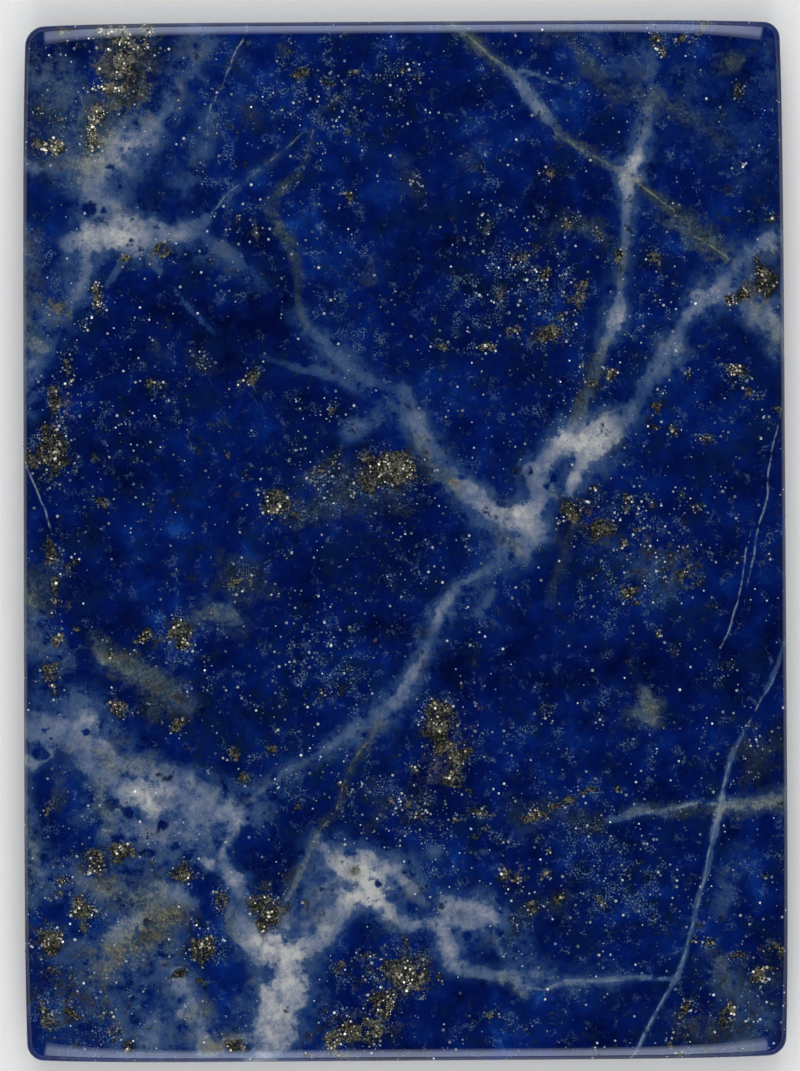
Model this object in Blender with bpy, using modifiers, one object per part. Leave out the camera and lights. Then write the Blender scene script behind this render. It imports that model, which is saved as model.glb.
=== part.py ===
"""A polished slab of lapis lazuli: one piece of stone with a hand-eased outline.

The slab lies flat with its long side along Y. Its outline is a quadrilateral a little out of
square, with round corners and sides that stand slightly proud between them. The rim of the
upper face rolls off in a round edge, wider at the corners, where a hand polish takes most.
"""

import math

import bmesh
import bpy
from mathutils import Vector

MM = 0.001

# Driving dimensions, in metres
THICKNESS = 10.0 * MM
SIDE_BOW = 0.20 * MM
TOP_ROUND_MIDSIDE = 1.05 * MM
TOP_ROUND_CORNER = 1.60 * MM
BOTTOM_ROUND = 0.80 * MM
CORNER_REACH = 34.0 * MM

# Each corner of the outline before it is rounded: X, Y and its radius seen from above
NEAR_LEFT = (-37.86 * MM, -51.92 * MM, 1.70 * MM)
NEAR_RIGHT = (38.12 * MM, -51.38 * MM, 1.90 * MM)
FAR_RIGHT = (37.42 * MM, 52.02 * MM, 1.65 * MM)
FAR_LEFT = (-38.08 * MM, 51.54 * MM, 2.00 * MM)
CORNERS = (NEAR_LEFT, NEAR_RIGHT, FAR_RIGHT, FAR_LEFT)

# How finely the curves are cut
BOW_POWER = 6
CORNER_STEPS = 9
SIDE_STEPS = 34
ROUND_SEGMENTS = 7

STONE_BLUE = (0.0035, 0.0135, 0.105, 1.0)
STONE_ROUGHNESS = 0.12


def clear_scene():
    for old in list(bpy.data.objects):
        bpy.data.objects.remove(old)


def outward(start, end):
    """The unit normal to the right of the way from start to end."""
    along = (end - start).normalized()
    return Vector((along.y, -along.x))


def corner_arc(before, corner, after, radius):
    """The points of one rounded corner, from the side that arrives to the side that leaves."""
    first, last = outward(before, corner), outward(corner, after)
    opening = math.pi - first.angle(last)
    centre = corner - (first + last).normalized() * radius / math.sin(opening / 2)
    begin = math.atan2(first.y, first.x)
    sweep = first.angle(last)
    return [
        centre + radius * Vector((math.cos(begin + sweep * step / CORNER_STEPS),
                                  math.sin(begin + sweep * step / CORNER_STEPS)))
        for step in range(CORNER_STEPS + 1)
    ]


def bowed_side(start, end):
    """The points between two corner arcs, bowed outwards and flattest in the middle."""
    normal = outward(start, end)
    points = []
    for step in range(1, SIDE_STEPS):
        share = step / SIDE_STEPS
        bow = SIDE_BOW * (1 - abs(2 * share - 1) ** BOW_POWER)
        points.append(start.lerp(end, share) + normal * bow)
    return points


def slab_outline():
    """The outline's points, counter-clockwise, with the middle of their box at the origin."""
    places = [Vector(corner[:2]) for corner in CORNERS]
    arcs = [
        corner_arc(places[i - 1], places[i], places[(i + 1) % 4], CORNERS[i][2])
        for i in range(4)
    ]
    points = []
    for i, arc in enumerate(arcs):
        points += arc + bowed_side(arc[-1], arcs[(i + 1) % 4][0])
    middle = Vector((
        (min(p.x for p in points) + max(p.x for p in points)) / 2,
        (min(p.y for p in points) + max(p.y for p in points)) / 2,
    ))
    return [p - middle for p in points]


def top_round(place):
    """The upper edge's radius at a place on the outline: it grows towards the nearest corner."""
    distance = min((Vector(corner[:2]) - place).length for corner in CORNERS)
    nearness = max(0.0, 1 - distance / CORNER_REACH)
    return TOP_ROUND_MIDSIDE + (TOP_ROUND_CORNER - TOP_ROUND_MIDSIDE) * nearness ** 1.5


def stone_material():
    material = bpy.data.materials.new("polished lapis lazuli")
    material.use_nodes = True
    shader = material.node_tree.nodes["Principled BSDF"]
    shader.inputs["Base Color"].default_value = STONE_BLUE
    shader.inputs["Roughness"].default_value = STONE_ROUGHNESS
    shader.inputs["Metallic"].default_value = 0.0
    return material


def slab_mesh():
    """The slab with sharp rims, whose edges carry how round the Bevel modifier makes them."""
    shape = bmesh.new()
    base = shape.faces.new([shape.verts.new((p.x, p.y, 0.0)) for p in slab_outline()])
    grown = bmesh.ops.extrude_face_region(shape, geom=[base], use_keep_orig=True)
    risen = [item for item in grown["geom"] if isinstance(item, bmesh.types.BMVert)]
    bmesh.ops.translate(shape, verts=risen, vec=(0.0, 0.0, THICKNESS))
    bmesh.ops.recalc_face_normals(shape, faces=shape.faces)
    weight = shape.edges.layers.float.new("bevel_weight_edge")
    for edge in shape.edges:
        heights = {round(vert.co.z / THICKNESS) for vert in edge.verts}
        middle = (edge.verts[0].co + edge.verts[1].co) / 2
        if heights == {1}:
            edge[weight] = top_round(middle.xy) / TOP_ROUND_CORNER
        elif heights == {0}:
            edge[weight] = BOTTOM_ROUND / TOP_ROUND_CORNER
    mesh = bpy.data.meshes.new("lapis_slab")
    shape.to_mesh(mesh)
    shape.free()
    return mesh


def build_slab(collection):
    mesh = slab_mesh()
    mesh.materials.append(stone_material())
    slab = bpy.data.objects.new("lapis_slab", mesh)
    collection.objects.link(slab)
    rounding = slab.modifiers.new("rounded rims", "BEVEL")
    rounding.limit_method = "WEIGHT"
    rounding.offset_type = "OFFSET"
    rounding.width = TOP_ROUND_CORNER
    rounding.segments = ROUND_SEGMENTS
    rounding.use_clamp_overlap = False
    rounding.harden_normals = True
    mesh.shade_smooth()
    return slab


def main():
    clear_scene()
    collection = bpy.data.collections.new("lapis lazuli slab")
    bpy.context.scene.collection.children.link(collection)
    build_slab(collection)


main()
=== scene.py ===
import math

import bpy
import numpy as np
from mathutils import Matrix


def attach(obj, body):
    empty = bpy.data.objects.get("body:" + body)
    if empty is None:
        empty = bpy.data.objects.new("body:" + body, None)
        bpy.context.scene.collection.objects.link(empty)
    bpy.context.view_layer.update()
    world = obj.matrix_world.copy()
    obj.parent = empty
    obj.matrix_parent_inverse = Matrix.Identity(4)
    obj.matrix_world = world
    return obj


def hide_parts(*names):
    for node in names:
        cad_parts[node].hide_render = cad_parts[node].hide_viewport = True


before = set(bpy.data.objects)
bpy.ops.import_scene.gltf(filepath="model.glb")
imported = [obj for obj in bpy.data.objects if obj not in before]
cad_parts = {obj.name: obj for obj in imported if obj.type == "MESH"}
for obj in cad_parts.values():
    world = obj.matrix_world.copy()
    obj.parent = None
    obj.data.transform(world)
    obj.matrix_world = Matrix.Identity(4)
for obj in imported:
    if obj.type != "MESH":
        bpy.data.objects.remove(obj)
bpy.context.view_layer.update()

# Metres in a millimetre
MM = 0.001

# Sizes of the slab, in millimetres; the last is the corners' radius where the face turns flat
THICKNESS = 10.0
SIDE_BOW = 0.20
TOP_ROUND_MIDSIDE = 1.28
TOP_ROUND_CORNER = 2.0
BOTTOM_ROUND = 0.80
INNER_CORNER = 0.45

# Each corner of the outline before it is rounded: X, Y and its radius seen from above
NEAR_LEFT = (-37.86, -51.92, 1.70)
NEAR_RIGHT = (38.12, -51.38, 1.90)
FAR_RIGHT = (37.42, 52.02, 1.65)
FAR_LEFT = (-38.08, 51.54, 2.00)
CORNERS = (NEAR_LEFT, NEAR_RIGHT, FAR_RIGHT, FAR_LEFT)

# How suddenly a side's bow and the rim's roll change towards a corner
BOW_POWER = 6

# How finely the stone is cut: cells along the short and the long sides, and steps round the rims
CELLS_ACROSS = 216
CELLS_ALONG = 296
CORNER_CELLS = 8
TOP_RIM_STEPS = 9
SIDE_STEPS = 11
BOTTOM_RIM_STEPS = 4

# The plan of the markings is drawn in tenths of a millimetre, X to the right and Y towards the
# near side, and this place on it is the middle of the slab
PLAN_UNIT = 0.1
PLAN_MIDDLE = (405.45, 541.2)

# How far the markings slide and wander for each millimetre of depth
DIP = (0.35, -0.55)
WANDER_WITH_DEPTH = 0.16


# Plan of the markings

# A vein is a line of points: X, Y, half its width, and how white it is from 0 to 1
VEINS = {
    "junction": [(506, 512, 11, .80), (522, 518, 17, 1.0), (529, 532, 14, .62), (518, 552, 10, .30)],
    "left arm": [
        (404, 388, 7.1, .22), (414, 412, 9.8, .36), (424, 438, 9.8, .34), (438, 468, 9.8, .16),
        (456, 486, 9.8, .42), (478, 500, 9.8, .58), (500, 512, 10.7, .69), (520, 520, 12.5, .77)],
    "left arm, far stretch": [
        (301, 300, 3, .04), (304, 324, 4, .05), (318, 338, 5, .18), (332, 350, 6, .20),
        (346, 366, 6, .12), (365, 377, 6, .18), (384, 384, 7, .09), (404, 392, 8, .20)],
    "left arm, twin": [
        (262, 357, 3, .10), (293, 368, 4, .16), (320, 373, 4, .18), (349, 384, 5, .16),
        (367, 398, 5, .03), (388, 404, 6, .05), (410, 418, 7, .20)],
    "neck of the junction": [
        (533, 512, 11, .75), (540, 492, 10, .38), (537, 474, 11, .45), (546, 458, 10, .55)],
    "white heart": [
        (552, 454, 12, .60), (572, 446, 17, .92), (591, 441, 19, .90), (606, 430, 13, .80)],
    "heart's lower lobe": [
        (588, 452, 9, .74), (579, 466, 9, .72), (574, 480, 7, .80), (568, 491, 6, .64)],
    "right arm": [
        (604, 432, 12.1, .69), (620, 424, 10.4, .38), (632, 410, 8.6, .28), (640, 397, 6, .05),
        (648, 378, 9.0, .32), (660, 362, 10.0, .20), (672, 350, 10.6, .44), (676, 334, 7.4, .37),
        (684, 318, 8.4, .44), (700, 302, 9.3, .48), (716, 292, 10.2, .51), (730, 274, 8.4, .16),
        (742, 260, 7.4, .30), (758, 248, 10, .58), (774, 240, 12, .60), (792, 240, 11.2, .44)],
    "right arm, side branch": [
        (722, 290, 8, .40), (740, 302, 8, .36), (754, 312, 11, .42), (768, 324, 10, .44),
        (780, 338, 9, .40), (794, 356, 8, .36)],
    "upright vein": [
        (652, 24, 5, .18), (650, 64, 4, .05), (647, 98, 6, .15), (649, 114, 5, .19),
        (643, 142, 5, .32), (637, 158, 8, .70), (631, 176, 11, 1.0), (627, 196, 5, .54),
        (624, 217, 4, .33), (625, 240, 4, .34), (621, 262, 3, .26), (620, 284, 3, .24),
        (619, 301, 5, .36), (618, 316, 8, .90), (611, 330, 7, .62), (603, 346, 5, .42),
        (598, 364, 5, .28), (589, 388, 6, .22), (581, 408, 7, .19), (577, 428, 8, .44)],
    "high slanting vein": [
        (446, 20, 4, .14), (477, 46, 4, .18), (497, 63, 4, .32), (511, 75, 5, .40), (520, 84, 6, .50),
        (529, 96, 6, .40), (541, 112, 6, .54), (551, 124, 5, .30), (560, 135, 3, .18),
        (574, 147, 3, .24), (594, 158, 3, .15), (612, 168, 3, .28), (624, 172, 4, .50)],
    "high slanting vein, twig": [(520, 72, 2.4, .44), (543, 79, 2.4, .32), (566, 86, 2.2, .22)],
    "lower arm": [
        (506, 548, 7.6, .31), (492, 566, 5.4, .14), (472, 577, 3.8, .36), (456, 587, 4.4, .26),
        (444, 603, 5.6, .52), (438, 618, 6.6, .56), (433, 634, 2.6, .01), (424, 654, 3.8, .28),
        (413, 670, 5.2, .58), (405, 686, 6.2, .52), (393, 703, 7.4, .36), (376, 718, 8.5, .18),
        (356, 728, 8.0, .24), (339, 740, 5.7, .30), (319, 754, 4.4, .21), (300, 765, 3.6, .19),
        (281, 774, 3.6, .24), (263, 790, 2.8, .28), (248, 801, 3.8, .08)],
    "lower arm, spur": [
        (492, 590, 3, .18), (486, 604, 5, .28), (478, 612, 5, .22), (500, 626, 3, .14)],
    "low left vein": [
        (20, 736, 13, .46), (45, 722, 16, .42), (72, 728, 19, .46), (95, 755, 18, .46),
        (118, 785, 18, .32), (148, 796, 19, 1.0), (166, 800, 19, .74), (186, 803, 18, .20),
        (210, 812, 17, .36), (235, 815, 14, .68), (252, 808, 8, .02)],
    "low left vein, upper lip": [
        (128, 768, 8, .38), (150, 764, 8, .40), (172, 776, 9, .22), (190, 780, 9, .46),
        (212, 792, 9, .35)],
    "low left vein, neck": [
        (232, 826, 10, .62), (226, 845, 8, .54), (226, 862, 9, .44), (236, 882, 11, .70),
        (247, 900, 7, .22), (244, 922, 9, .32), (256, 940, 12, .85)],
    "low left vein, edge": [(20, 758, 7, .70), (34, 764, 6, .56), (50, 752, 7, .58)],
    "low left cloud": [(84, 700, 12, .38), (70, 712, 14, .22), (92, 722, 12, .64), (50, 700, 8, .04)],
    "trunk": [
        (236, 930, 7, .50), (248, 942, 11, .78), (268, 946, 17, .92), (288, 950, 22, 1.0),
        (285, 970, 21, .88), (285, 990, 20, .92), (280, 1008, 20, .86), (271, 1026, 20, .80),
        (266, 1045, 19, .74), (262, 1066, 19, .72)],
    "trunk, right shoulder": [
        (300, 946, 15, .92), (318, 942, 11, .46), (331, 927, 9, .60), (341, 910, 9, .50),
        (352, 896, 12, .98)],
    "trunk, tan foot": [(200, 1050, 7, .42), (222, 1044, 8, .72), (244, 1040, 9, .60)],
    "star": [
        (316, 843, 5, .34), (330, 852, 8, .46), (344, 864, 13, .76), (362, 872, 17, 1.0),
        (372, 889, 17, 1.0), (384, 903, 12, .94), (396, 918, 8, .66)],
    "star, upper right ray": [
        (360, 856, 9, .78), (378, 862, 8, .74), (394, 870, 7, .45), (404, 880, 6, .48),
        (416, 896, 6, .20), (428, 906, 5, .34)],
    "star's chain": [
        (396, 918, 8, .62), (412, 924, 8, .60), (428, 924, 7, .56), (444, 926, 10, .62),
        (448, 944, 10, .62), (452, 962, 9, .60), (466, 970, 7, .39), (486, 974, 6, .38),
        (504, 976, 6, .52), (516, 980, 8, .44), (523, 992, 5, .34)],
    "chain's upper blob": [
        (448, 922, 9, .58), (446, 902, 8, .60), (462, 906, 13, .66), (478, 910, 13, .68),
        (492, 916, 8, .52), (504, 917, 4, .30)],
    "chain's blob, lower half": [(452, 920, 10, .50), (468, 918, 11, .42), (482, 920, 9, .34)],
    "chain's right thread": [
        (520, 984, 4, .50), (544, 988, 3, .12), (566, 980, 3, .38), (594, 979, 3, .34),
        (630, 976, 2.6, .42), (676, 977, 2.2, .26)],
    "chain's upper thread": [(512, 972, 3, .36), (534, 973, 3, .22), (554, 977, 2.4, .24)],
    "chain's spur": [(490, 922, 2.4, .12), (497, 940, 2.4, .26), (503, 960, 2, .42)],
    "top left heart": [
        (72, 244, 10, .43), (86, 242, 15, .80), (102, 236, 15, .76), (118, 234, 16, .90),
        (134, 238, 15, .82), (152, 234, 14, .54), (170, 236, 12, .52), (186, 234, 9, .42)],
    "top left rise": [
        (114, 222, 10, .55), (104, 204, 14, .14), (94, 184, 14, .30), (98, 168, 14, .50),
        (112, 152, 14, .86), (124, 138, 12, .64), (130, 120, 10, .10), (140, 104, 8, .04)],
    "top left slope": [
        (128, 148, 10, .74), (146, 138, 9, .33), (160, 126, 8, .20), (170, 106, 8, .24),
        (182, 84, 7, .13), (198, 62, 7, .14), (214, 44, 6, .12)],
    "top left right arm": [
        (186, 232, 8, .32), (206, 240, 7, .13), (222, 250, 6, .20), (238, 262, 7, .15),
        (254, 276, 5, .11), (266, 290, 4, .04)],
    "top left thread": [
        (190, 232, 7, .26), (206, 220, 7, .27), (222, 202, 6, .08), (236, 188, 5, .08),
        (250, 178, 5, .06), (266, 166, 4, .02), (284, 150, 4, .05), (306, 131, 4, .05)],
    "top left lower thread": [
        (174, 288, 3, .18), (186, 304, 3, .18), (198, 318, 4, .18), (214, 334, 3, .12)],
    "top left roots": [
        (88, 246, 7, .56), (86, 262, 6, .36), (86, 280, 6, .34), (76, 298, 7, .28), (58, 314, 8, .12),
        (44, 326, 6, .02)],
    "top left small root": [
        (134, 244, 6, .52), (124, 258, 5, .34), (116, 272, 4, .22), (108, 286, 3, .14)],
    "top left middle root": [(156, 244, 6, .40), (152, 262, 5, .26), (160, 272, 4, .24)],
    "left patch": [(22, 166, 7, .36), (34, 170, 6, .30), (52, 168, 5, .26), (60, 178, 4, .07)],
    "left low patch": [(20, 236, 5, .30), (30, 262, 6, .14), (34, 282, 5, .01)],
    "level vein": [
        (604, 820, 3, .24), (622, 817, 4, .32), (637, 811, 6, .46), (655, 811, 3.4, .36),
        (675, 807, 2.8, .40), (698, 800, 3, .72), (719, 804, 4, .84), (740, 805, 8, .40),
        (758, 803, 8, .44), (776, 798, 8, .48), (796, 796, 8, .46)],
    "steep vein, upper": [
        (786, 642, 2.2, .18), (778, 664, 2.6, .22), (768, 684, 2.6, .22), (756, 706, 2.4, .02),
        (746, 724, 2.0, .10), (738, 740, 2.0, .24), (731, 754, 3.2, .36), (727, 770, 3.4, .26),
        (722, 788, 2.6, .24)],
    "steep vein, middle": [
        (722, 788, 2.6, .30), (719, 804, 4.4, .92), (714, 827, 3.8, .46), (710, 848, 4.2, .26),
        (704, 874, 2.2, .38), (697, 898, 2.4, .27), (693, 922, 2.8, .25), (684, 954, 2.2, .31),
        (675, 975, 2.6, .42)],
    "steep vein, lower": [
        (675, 975, 2.6, .34), (665, 993, 2.0, .24), (655, 1012, 1.8, .22), (645, 1031, 2.2, .58),
        (636, 1050, 2.4, .28), (630, 1066, 2.2, .24)],
    "small star": [(644, 690, 5, .22), (648, 706, 9, .34), (650, 720, 5, .36), (636, 714, 5, .26)],
    "olive drift": [
        (97, 646, 6, .06), (107, 658, 10, .50), (122, 664, 7, .26), (144, 674, 9, .20),
        (166, 690, 10, .15), (188, 704, 9, .14)],
    "grey drift": [(190, 624, 6, .18), (206, 612, 9, .28), (222, 612, 11, .36), (236, 622, 8, .24)],
    "low left shelf": [
        (36, 866, 5.5, .10), (60, 868, 6.6, .06), (88, 880, 7.7, .29), (112, 890, 8.8, .10),
        (138, 896, 11, .05), (160, 898, 13.2, .52), (176, 894, 11, .57), (192, 904, 6.6, .29)],
    "low left shelf, under": [
        (168, 902, 13.2, .45), (156, 914, 14.3, .25), (138, 922, 13.2, .57), (122, 932, 12.1, .62),
        (112, 942, 11, .50), (116, 956, 11, .43), (104, 970, 9.9, .10)],
    "low left shelf, olive": [(168, 910, 12, .40), (160, 930, 10, .13), (150, 944, 8, .04)],
    "small white": [(203, 862, 5, .56), (211, 864, 7, .84), (218, 872, 4, .06)],
    "low left fork": [
        (178, 972, 7, .58), (183, 990, 8, .19), (190, 1008, 9, .50), (201, 1022, 6, .25),
        (206, 1042, 4, .46)],
    "low left floor": [(146, 1040, 9, .10), (154, 1026, 9, .24), (162, 1012, 6, .20)],
    "left rim light": [(20, 330, 6, .30), (34, 340, 7, .01), (48, 352, 5, .36)],
    "bottom left thread": [(232, 902, 3, .30), (228, 916, 4, .36), (232, 930, 5, .26)],
    "star's left thread": [
        (318, 834, 3, .30), (306, 858, 3, .32), (296, 882, 3, .26), (284, 904, 3, .70)],
    "bead by the star": [(424, 852, 5, .04), (434, 850, 6, .26), (440, 860, 4, .01)],
}

# Soft clouds: X, Y, how far each point reaches, and how strong it is
CLOUDS = {
    "top left": [(34, 60, 20, .30), (58, 84, 26, .34), (84, 110, 24, .34), (60, 150, 24, .22)],
    "top left slope": [
        (200, 40, 20, .26), (180, 78, 20, .26), (160, 110, 22, .32), (130, 150, 30, .46),
        (90, 176, 32, .42), (120, 226, 24, .38)],
    "top left under": [(80, 262, 22, .30), (64, 306, 24, .26), (36, 340, 22, .25), (30, 384, 14, .28)],
    "top left arm": [(180, 240, 22, .26), (224, 262, 16, .14), (262, 288, 12, .08)],
    "top left cracks": [(214, 104, 14, .30), (206, 150, 14, .26), (180, 190, 16, .20)],
    "thread's haze": [(210, 216, 12, .16), (244, 182, 10, .14), (284, 152, 9, .10)],
    "far stretch": [
        (300, 318, 14, .22), (336, 356, 20, .28), (374, 388, 24, .12), (410, 420, 20, .20)],
    "small grey cloud": [(346, 432, 10, .34), (360, 426, 12, .42), (372, 420, 9, .30)],
    "left arm": [(420, 440, 20, .16), (462, 488, 20, .26), (510, 528, 30, .30)],
    "heart": [(556, 470, 28, .24), (590, 444, 34, .26), (640, 402, 24, .12), (672, 352, 24, .20)],
    "right arm": [(700, 304, 24, .26), (744, 262, 26, .26), (774, 300, 26, .34), (782, 340, 20, .34)],
    "violet corner": [
        (590, 50, 30, .16), (650, 70, 40, .14), (710, 110, 46, .12), (750, 160, 40, .12),
        (766, 60, 26, .14)],
    "upright vein": [
        (650, 40, 9, .14), (646, 110, 12, .18), (634, 170, 20, .26), (624, 250, 16, .18),
        (612, 330, 18, .24)],
    "lower arm": [
        (496, 570, 18, .18), (440, 616, 18, .22), (410, 680, 18, .20), (370, 726, 22, .24),
        (310, 762, 18, .22), (258, 796, 18, .26)],
    "upper left edge": [
        (26, 236, 12, .32), (27, 280, 9, .10), (32, 330, 14, .26), (28, 372, 13, .40),
        (27, 410, 12, .32)],
    "left edge": [(28, 600, 18, .34), (32, 640, 20, .44), (56, 664, 20, .30), (44, 696, 14, .20)],
    "low left edge": [(25, 740, 12, .44), (26, 790, 10, .34), (30, 840, 14, .40), (34, 900, 14, .40)],
    "low left": [(90, 726, 28, .30), (140, 786, 29, .40), (206, 806, 30, .36), (250, 822, 24, .28)],
    "low left feathers": [
        (96, 810, 24, .40), (124, 836, 26, .42), (160, 842, 26, .44), (200, 846, 20, .44)],
    "low left floor": [
        (34, 868, 22, .28), (80, 888, 28, .32), (136, 900, 32, .34), (160, 950, 34, .34),
        (110, 975, 36, .38), (72, 950, 26, .34), (150, 1034, 30, .36), (80, 1010, 40, .24)],
    "low left fork": [(184, 990, 18, .40), (200, 1034, 20, .40)],
    "trunk": [(250, 926, 22, .34), (300, 930, 30, .36), (270, 1010, 30, .26)],
    "star": [(330, 850, 26, .34), (330, 890, 26, .44), (400, 880, 30, .42), (384, 910, 22, .30)],
    "chain": [(446, 940, 22, .30), (486, 916, 22, .34), (540, 978, 20, .22), (620, 978, 16, .14)],
    "low right corner": [
        (716, 966, 14, .36), (732, 990, 18, .32), (756, 1024, 26, .30), (742, 1048, 20, .30)],
    "right blue mist": [
        (722, 866, 10, .20), (724, 890, 12, .26), (718, 910, 10, .22), (736, 850, 12, .14)],
    "brown field": [
        (610, 545, 20, .18), (644, 560, 28, .24), (676, 572, 26, .26), (650, 602, 18, .16)],
}

# Sage and olive drifts and threads, drawn as the veins are
SAGES = {
    "far left ground": [
        (100, 30, 16, .60), (122, 44, 24, .90), (130, 66, 26, 1.0), (124, 88, 22, .94),
        (108, 106, 20, .86), (98, 126, 19, .90), (98, 146, 18, .84), (84, 166, 15, .56)],
    "far left haze": [
        (36, 70, 18, .30), (56, 84, 20, .40), (48, 110, 20, .46), (60, 134, 18, .44),
        (40, 160, 16, .34)],
    "green thread": [
        (350, 92, 3, .30), (336, 101, 3, .40), (322, 111, 3, .36), (314, 124, 3, .36),
        (310, 142, 3, .36), (307, 160, 3, .40), (297, 177, 4, .56), (284, 190, 6, .56),
        (271, 208, 6, .50), (281, 224, 7, .90), (288, 238, 8, .90), (293, 256, 5, .70),
        (300, 280, 4, .60), (300, 306, 3, .46), (306, 328, 4, .36)],
    "low green thread": [
        (380, 722, 6, .40), (366, 742, 4, .66), (353, 760, 4, .66), (343, 787, 4, .56),
        (337, 812, 4, .40), (321, 828, 5, .50), (308, 856, 4, .44), (296, 883, 5, .52),
        (281, 906, 6, .50)],
    "olive slant": [
        (626, 174, 4, .40), (640, 187, 5, .74), (655, 199, 6, .84), (668, 209, 7, .80),
        (684, 222, 9, .84), (698, 236, 11, 1.0), (712, 247, 10, 1.0), (726, 257, 7, .66)],
    "olive slant, twin": [
        (648, 214, 3, .40), (660, 225, 3, .66), (678, 231, 4, .66), (696, 240, 5, .60)],
    "high slant": [(446, 20, 7, .66), (470, 40, 6, .86), (492, 60, 6, .80), (506, 72, 5, .30)],
    "high slant, lower": [
        (558, 136, 5, .40), (576, 148, 5, .76), (596, 159, 5, .70), (614, 168, 4, .46)],
    "corner drift": [
        (640, 96, 9, .50), (664, 106, 9, .60), (690, 119, 7, .50), (716, 138, 5, .36),
        (734, 150, 4, .20)],
    "corner drift, upper": [
        (560, 30, 8, .36), (576, 50, 6, .50), (592, 72, 7, .50), (606, 90, 8, .44),
        (624, 100, 8, .36)],
    "corner tuft": [(716, 66, 5, .50), (728, 62, 8, .84), (740, 58, 6, .60)],
    "far corner tufts": [(556, 36, 9, .30), (540, 40, 8, .30)],
    "field tuft": [(552, 232, 7, .60), (572, 222, 9, .70), (592, 232, 9, .66), (604, 240, 6, .40)],
    "short green streak": [
        (570, 524, 5, .36), (563, 552, 5, .40), (556, 575, 4, .36), (548, 602, 4, .26)],
    "left edge sage": [(28, 588, 13, .80), (36, 600, 18, 1.0), (48, 606, 12, .70), (52, 560, 9, .46)],
    "upper left edge": [
        (28, 250, 8, .40), (38, 244, 9, .44), (36, 270, 8, .40), (30, 330, 8, .50), (38, 345, 8, .50)],
    "olive drift": [
        (98, 640, 8, .60), (106, 656, 14, .94), (126, 664, 13, .90), (148, 676, 15, .84),
        (166, 690, 15, .80), (182, 704, 13, .66), (156, 706, 13, .60)],
    "grey drift": [
        (176, 636, 10, .60), (194, 618, 9, .50), (212, 612, 12, .60), (230, 620, 12, .60),
        (246, 632, 8, .30)],
    "speck field": [(232, 576, 18, .50), (252, 588, 16, .50), (270, 592, 10, .30)],
    "centre drift": [
        (312, 480, 12, .50), (336, 472, 14, .56), (352, 490, 16, .60), (300, 512, 12, .50),
        (400, 500, 12, .30)],
    "left arm, olive edge": [
        (418, 440, 5, .40), (430, 466, 8, .60), (446, 480, 9, .62), (458, 490, 6, .40)],
    "junction's yellow": [(498, 532, 7, .30), (506, 540, 7, .36), (516, 548, 7, .34)],
    "upright vein, olive": [(622, 244, 5, .40), (621, 262, 5, .66), (620, 282, 4, .50)],
    "upright vein, foot": [
        (606, 342, 5, .50), (598, 362, 6, .66), (590, 386, 7, .74), (582, 404, 7, .66),
        (576, 420, 6, .50)],
    "level vein's end": [
        (628, 812, 6, .50), (640, 810, 6, .56), (742, 806, 9, .60), (772, 800, 10, .76),
        (796, 796, 10, .76)],
    "right edge": [(752, 310, 10, .44), (770, 328, 10, .50), (782, 350, 9, .44)],
    "right edge, upper": [(760, 258, 9, .36), (778, 246, 8, .40)],
    "small star": [(640, 694, 7, .66), (648, 708, 12, 1.0), (652, 722, 7, .60), (632, 716, 8, .64)],
    "low left, between islands": [(56, 776, 7, .44), (60, 792, 6, .56), (58, 806, 6, .50)],
    "low left lip": [
        (96, 752, 5, .44), (108, 764, 5, .60), (120, 772, 4, .40), (150, 762, 8, .40),
        (160, 768, 8, .30)],
    "low left wash": [(100, 790, 9, .44), (104, 806, 10, .50), (110, 824, 8, .36)],
    "low left edge": [(28, 826, 7, .44), (38, 838, 9, .56), (34, 862, 8, .44), (30, 882, 8, .40)],
    "low left shelf": [
        (100, 884, 9, .50), (124, 892, 14, .74), (146, 900, 17, .86), (166, 912, 18, .90),
        (160, 932, 18, .96), (136, 936, 18, .96), (114, 948, 14, .80), (104, 970, 12, .56)],
    "low left stair": [(186, 1014, 8, .30), (206, 1006, 7, .50), (208, 1000, 5, .44)],
    "trunk's left edge": [(228, 908, 6, .50), (232, 924, 6, .50), (238, 934, 5, .36)],
    "trunk's foot": [(206, 1050, 8, .56), (222, 1040, 9, .66), (238, 1034, 8, .56)],
    "star's eye": [(352, 870, 5, .50), (358, 874, 5, .44)],
    "chain's tip": [(500, 978, 5, .40), (512, 984, 7, .60), (520, 992, 5, .44)],
    "field right of chain": [
        (520, 916, 9, .40), (536, 906, 9, .50), (556, 902, 9, .44), (566, 896, 6, .30)],
    "low right": [(712, 952, 9, .40), (724, 970, 12, .50), (736, 990, 12, .40), (770, 976, 10, .40)],
    "low right floor": [
        (676, 1016, 8, .40), (700, 1036, 10, .40), (728, 1020, 10, .44), (748, 1040, 12, .40)],
    "right pepper": [(748, 750, 10, .44), (764, 744, 10, .44), (752, 768, 9, .36)],
    "pepper under the trail": [(520, 822, 14, .36), (560, 812, 12, .36), (588, 824, 12, .30)],
    "pepper by the stem": [(372, 790, 10, .30), (384, 806, 12, .36), (372, 822, 8, .30)],
    "top middle tuft": [(236, 104, 8, .36), (250, 116, 10, .36)],
    "top middle tuft, upper": [(238, 58, 9, .20), (242, 68, 9, .20)],
    "top tuft": [(280, 50, 5, .60), (285, 55, 5, .60)],
    "high middle tuft": [(404, 170, 10, .30), (414, 184, 10, .40)],
    "high middle tuft, right": [(468, 160, 9, .30), (480, 150, 8, .20)],
    "left middle tuft": [(196, 356, 8, .30), (202, 364, 8, .44)],
    "left middle tuft, left": [(158, 350, 7, .30), (164, 355, 7, .30)],
    "middle tuft": [(370, 262, 6, .44), (370, 276, 7, .44)],
}

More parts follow.
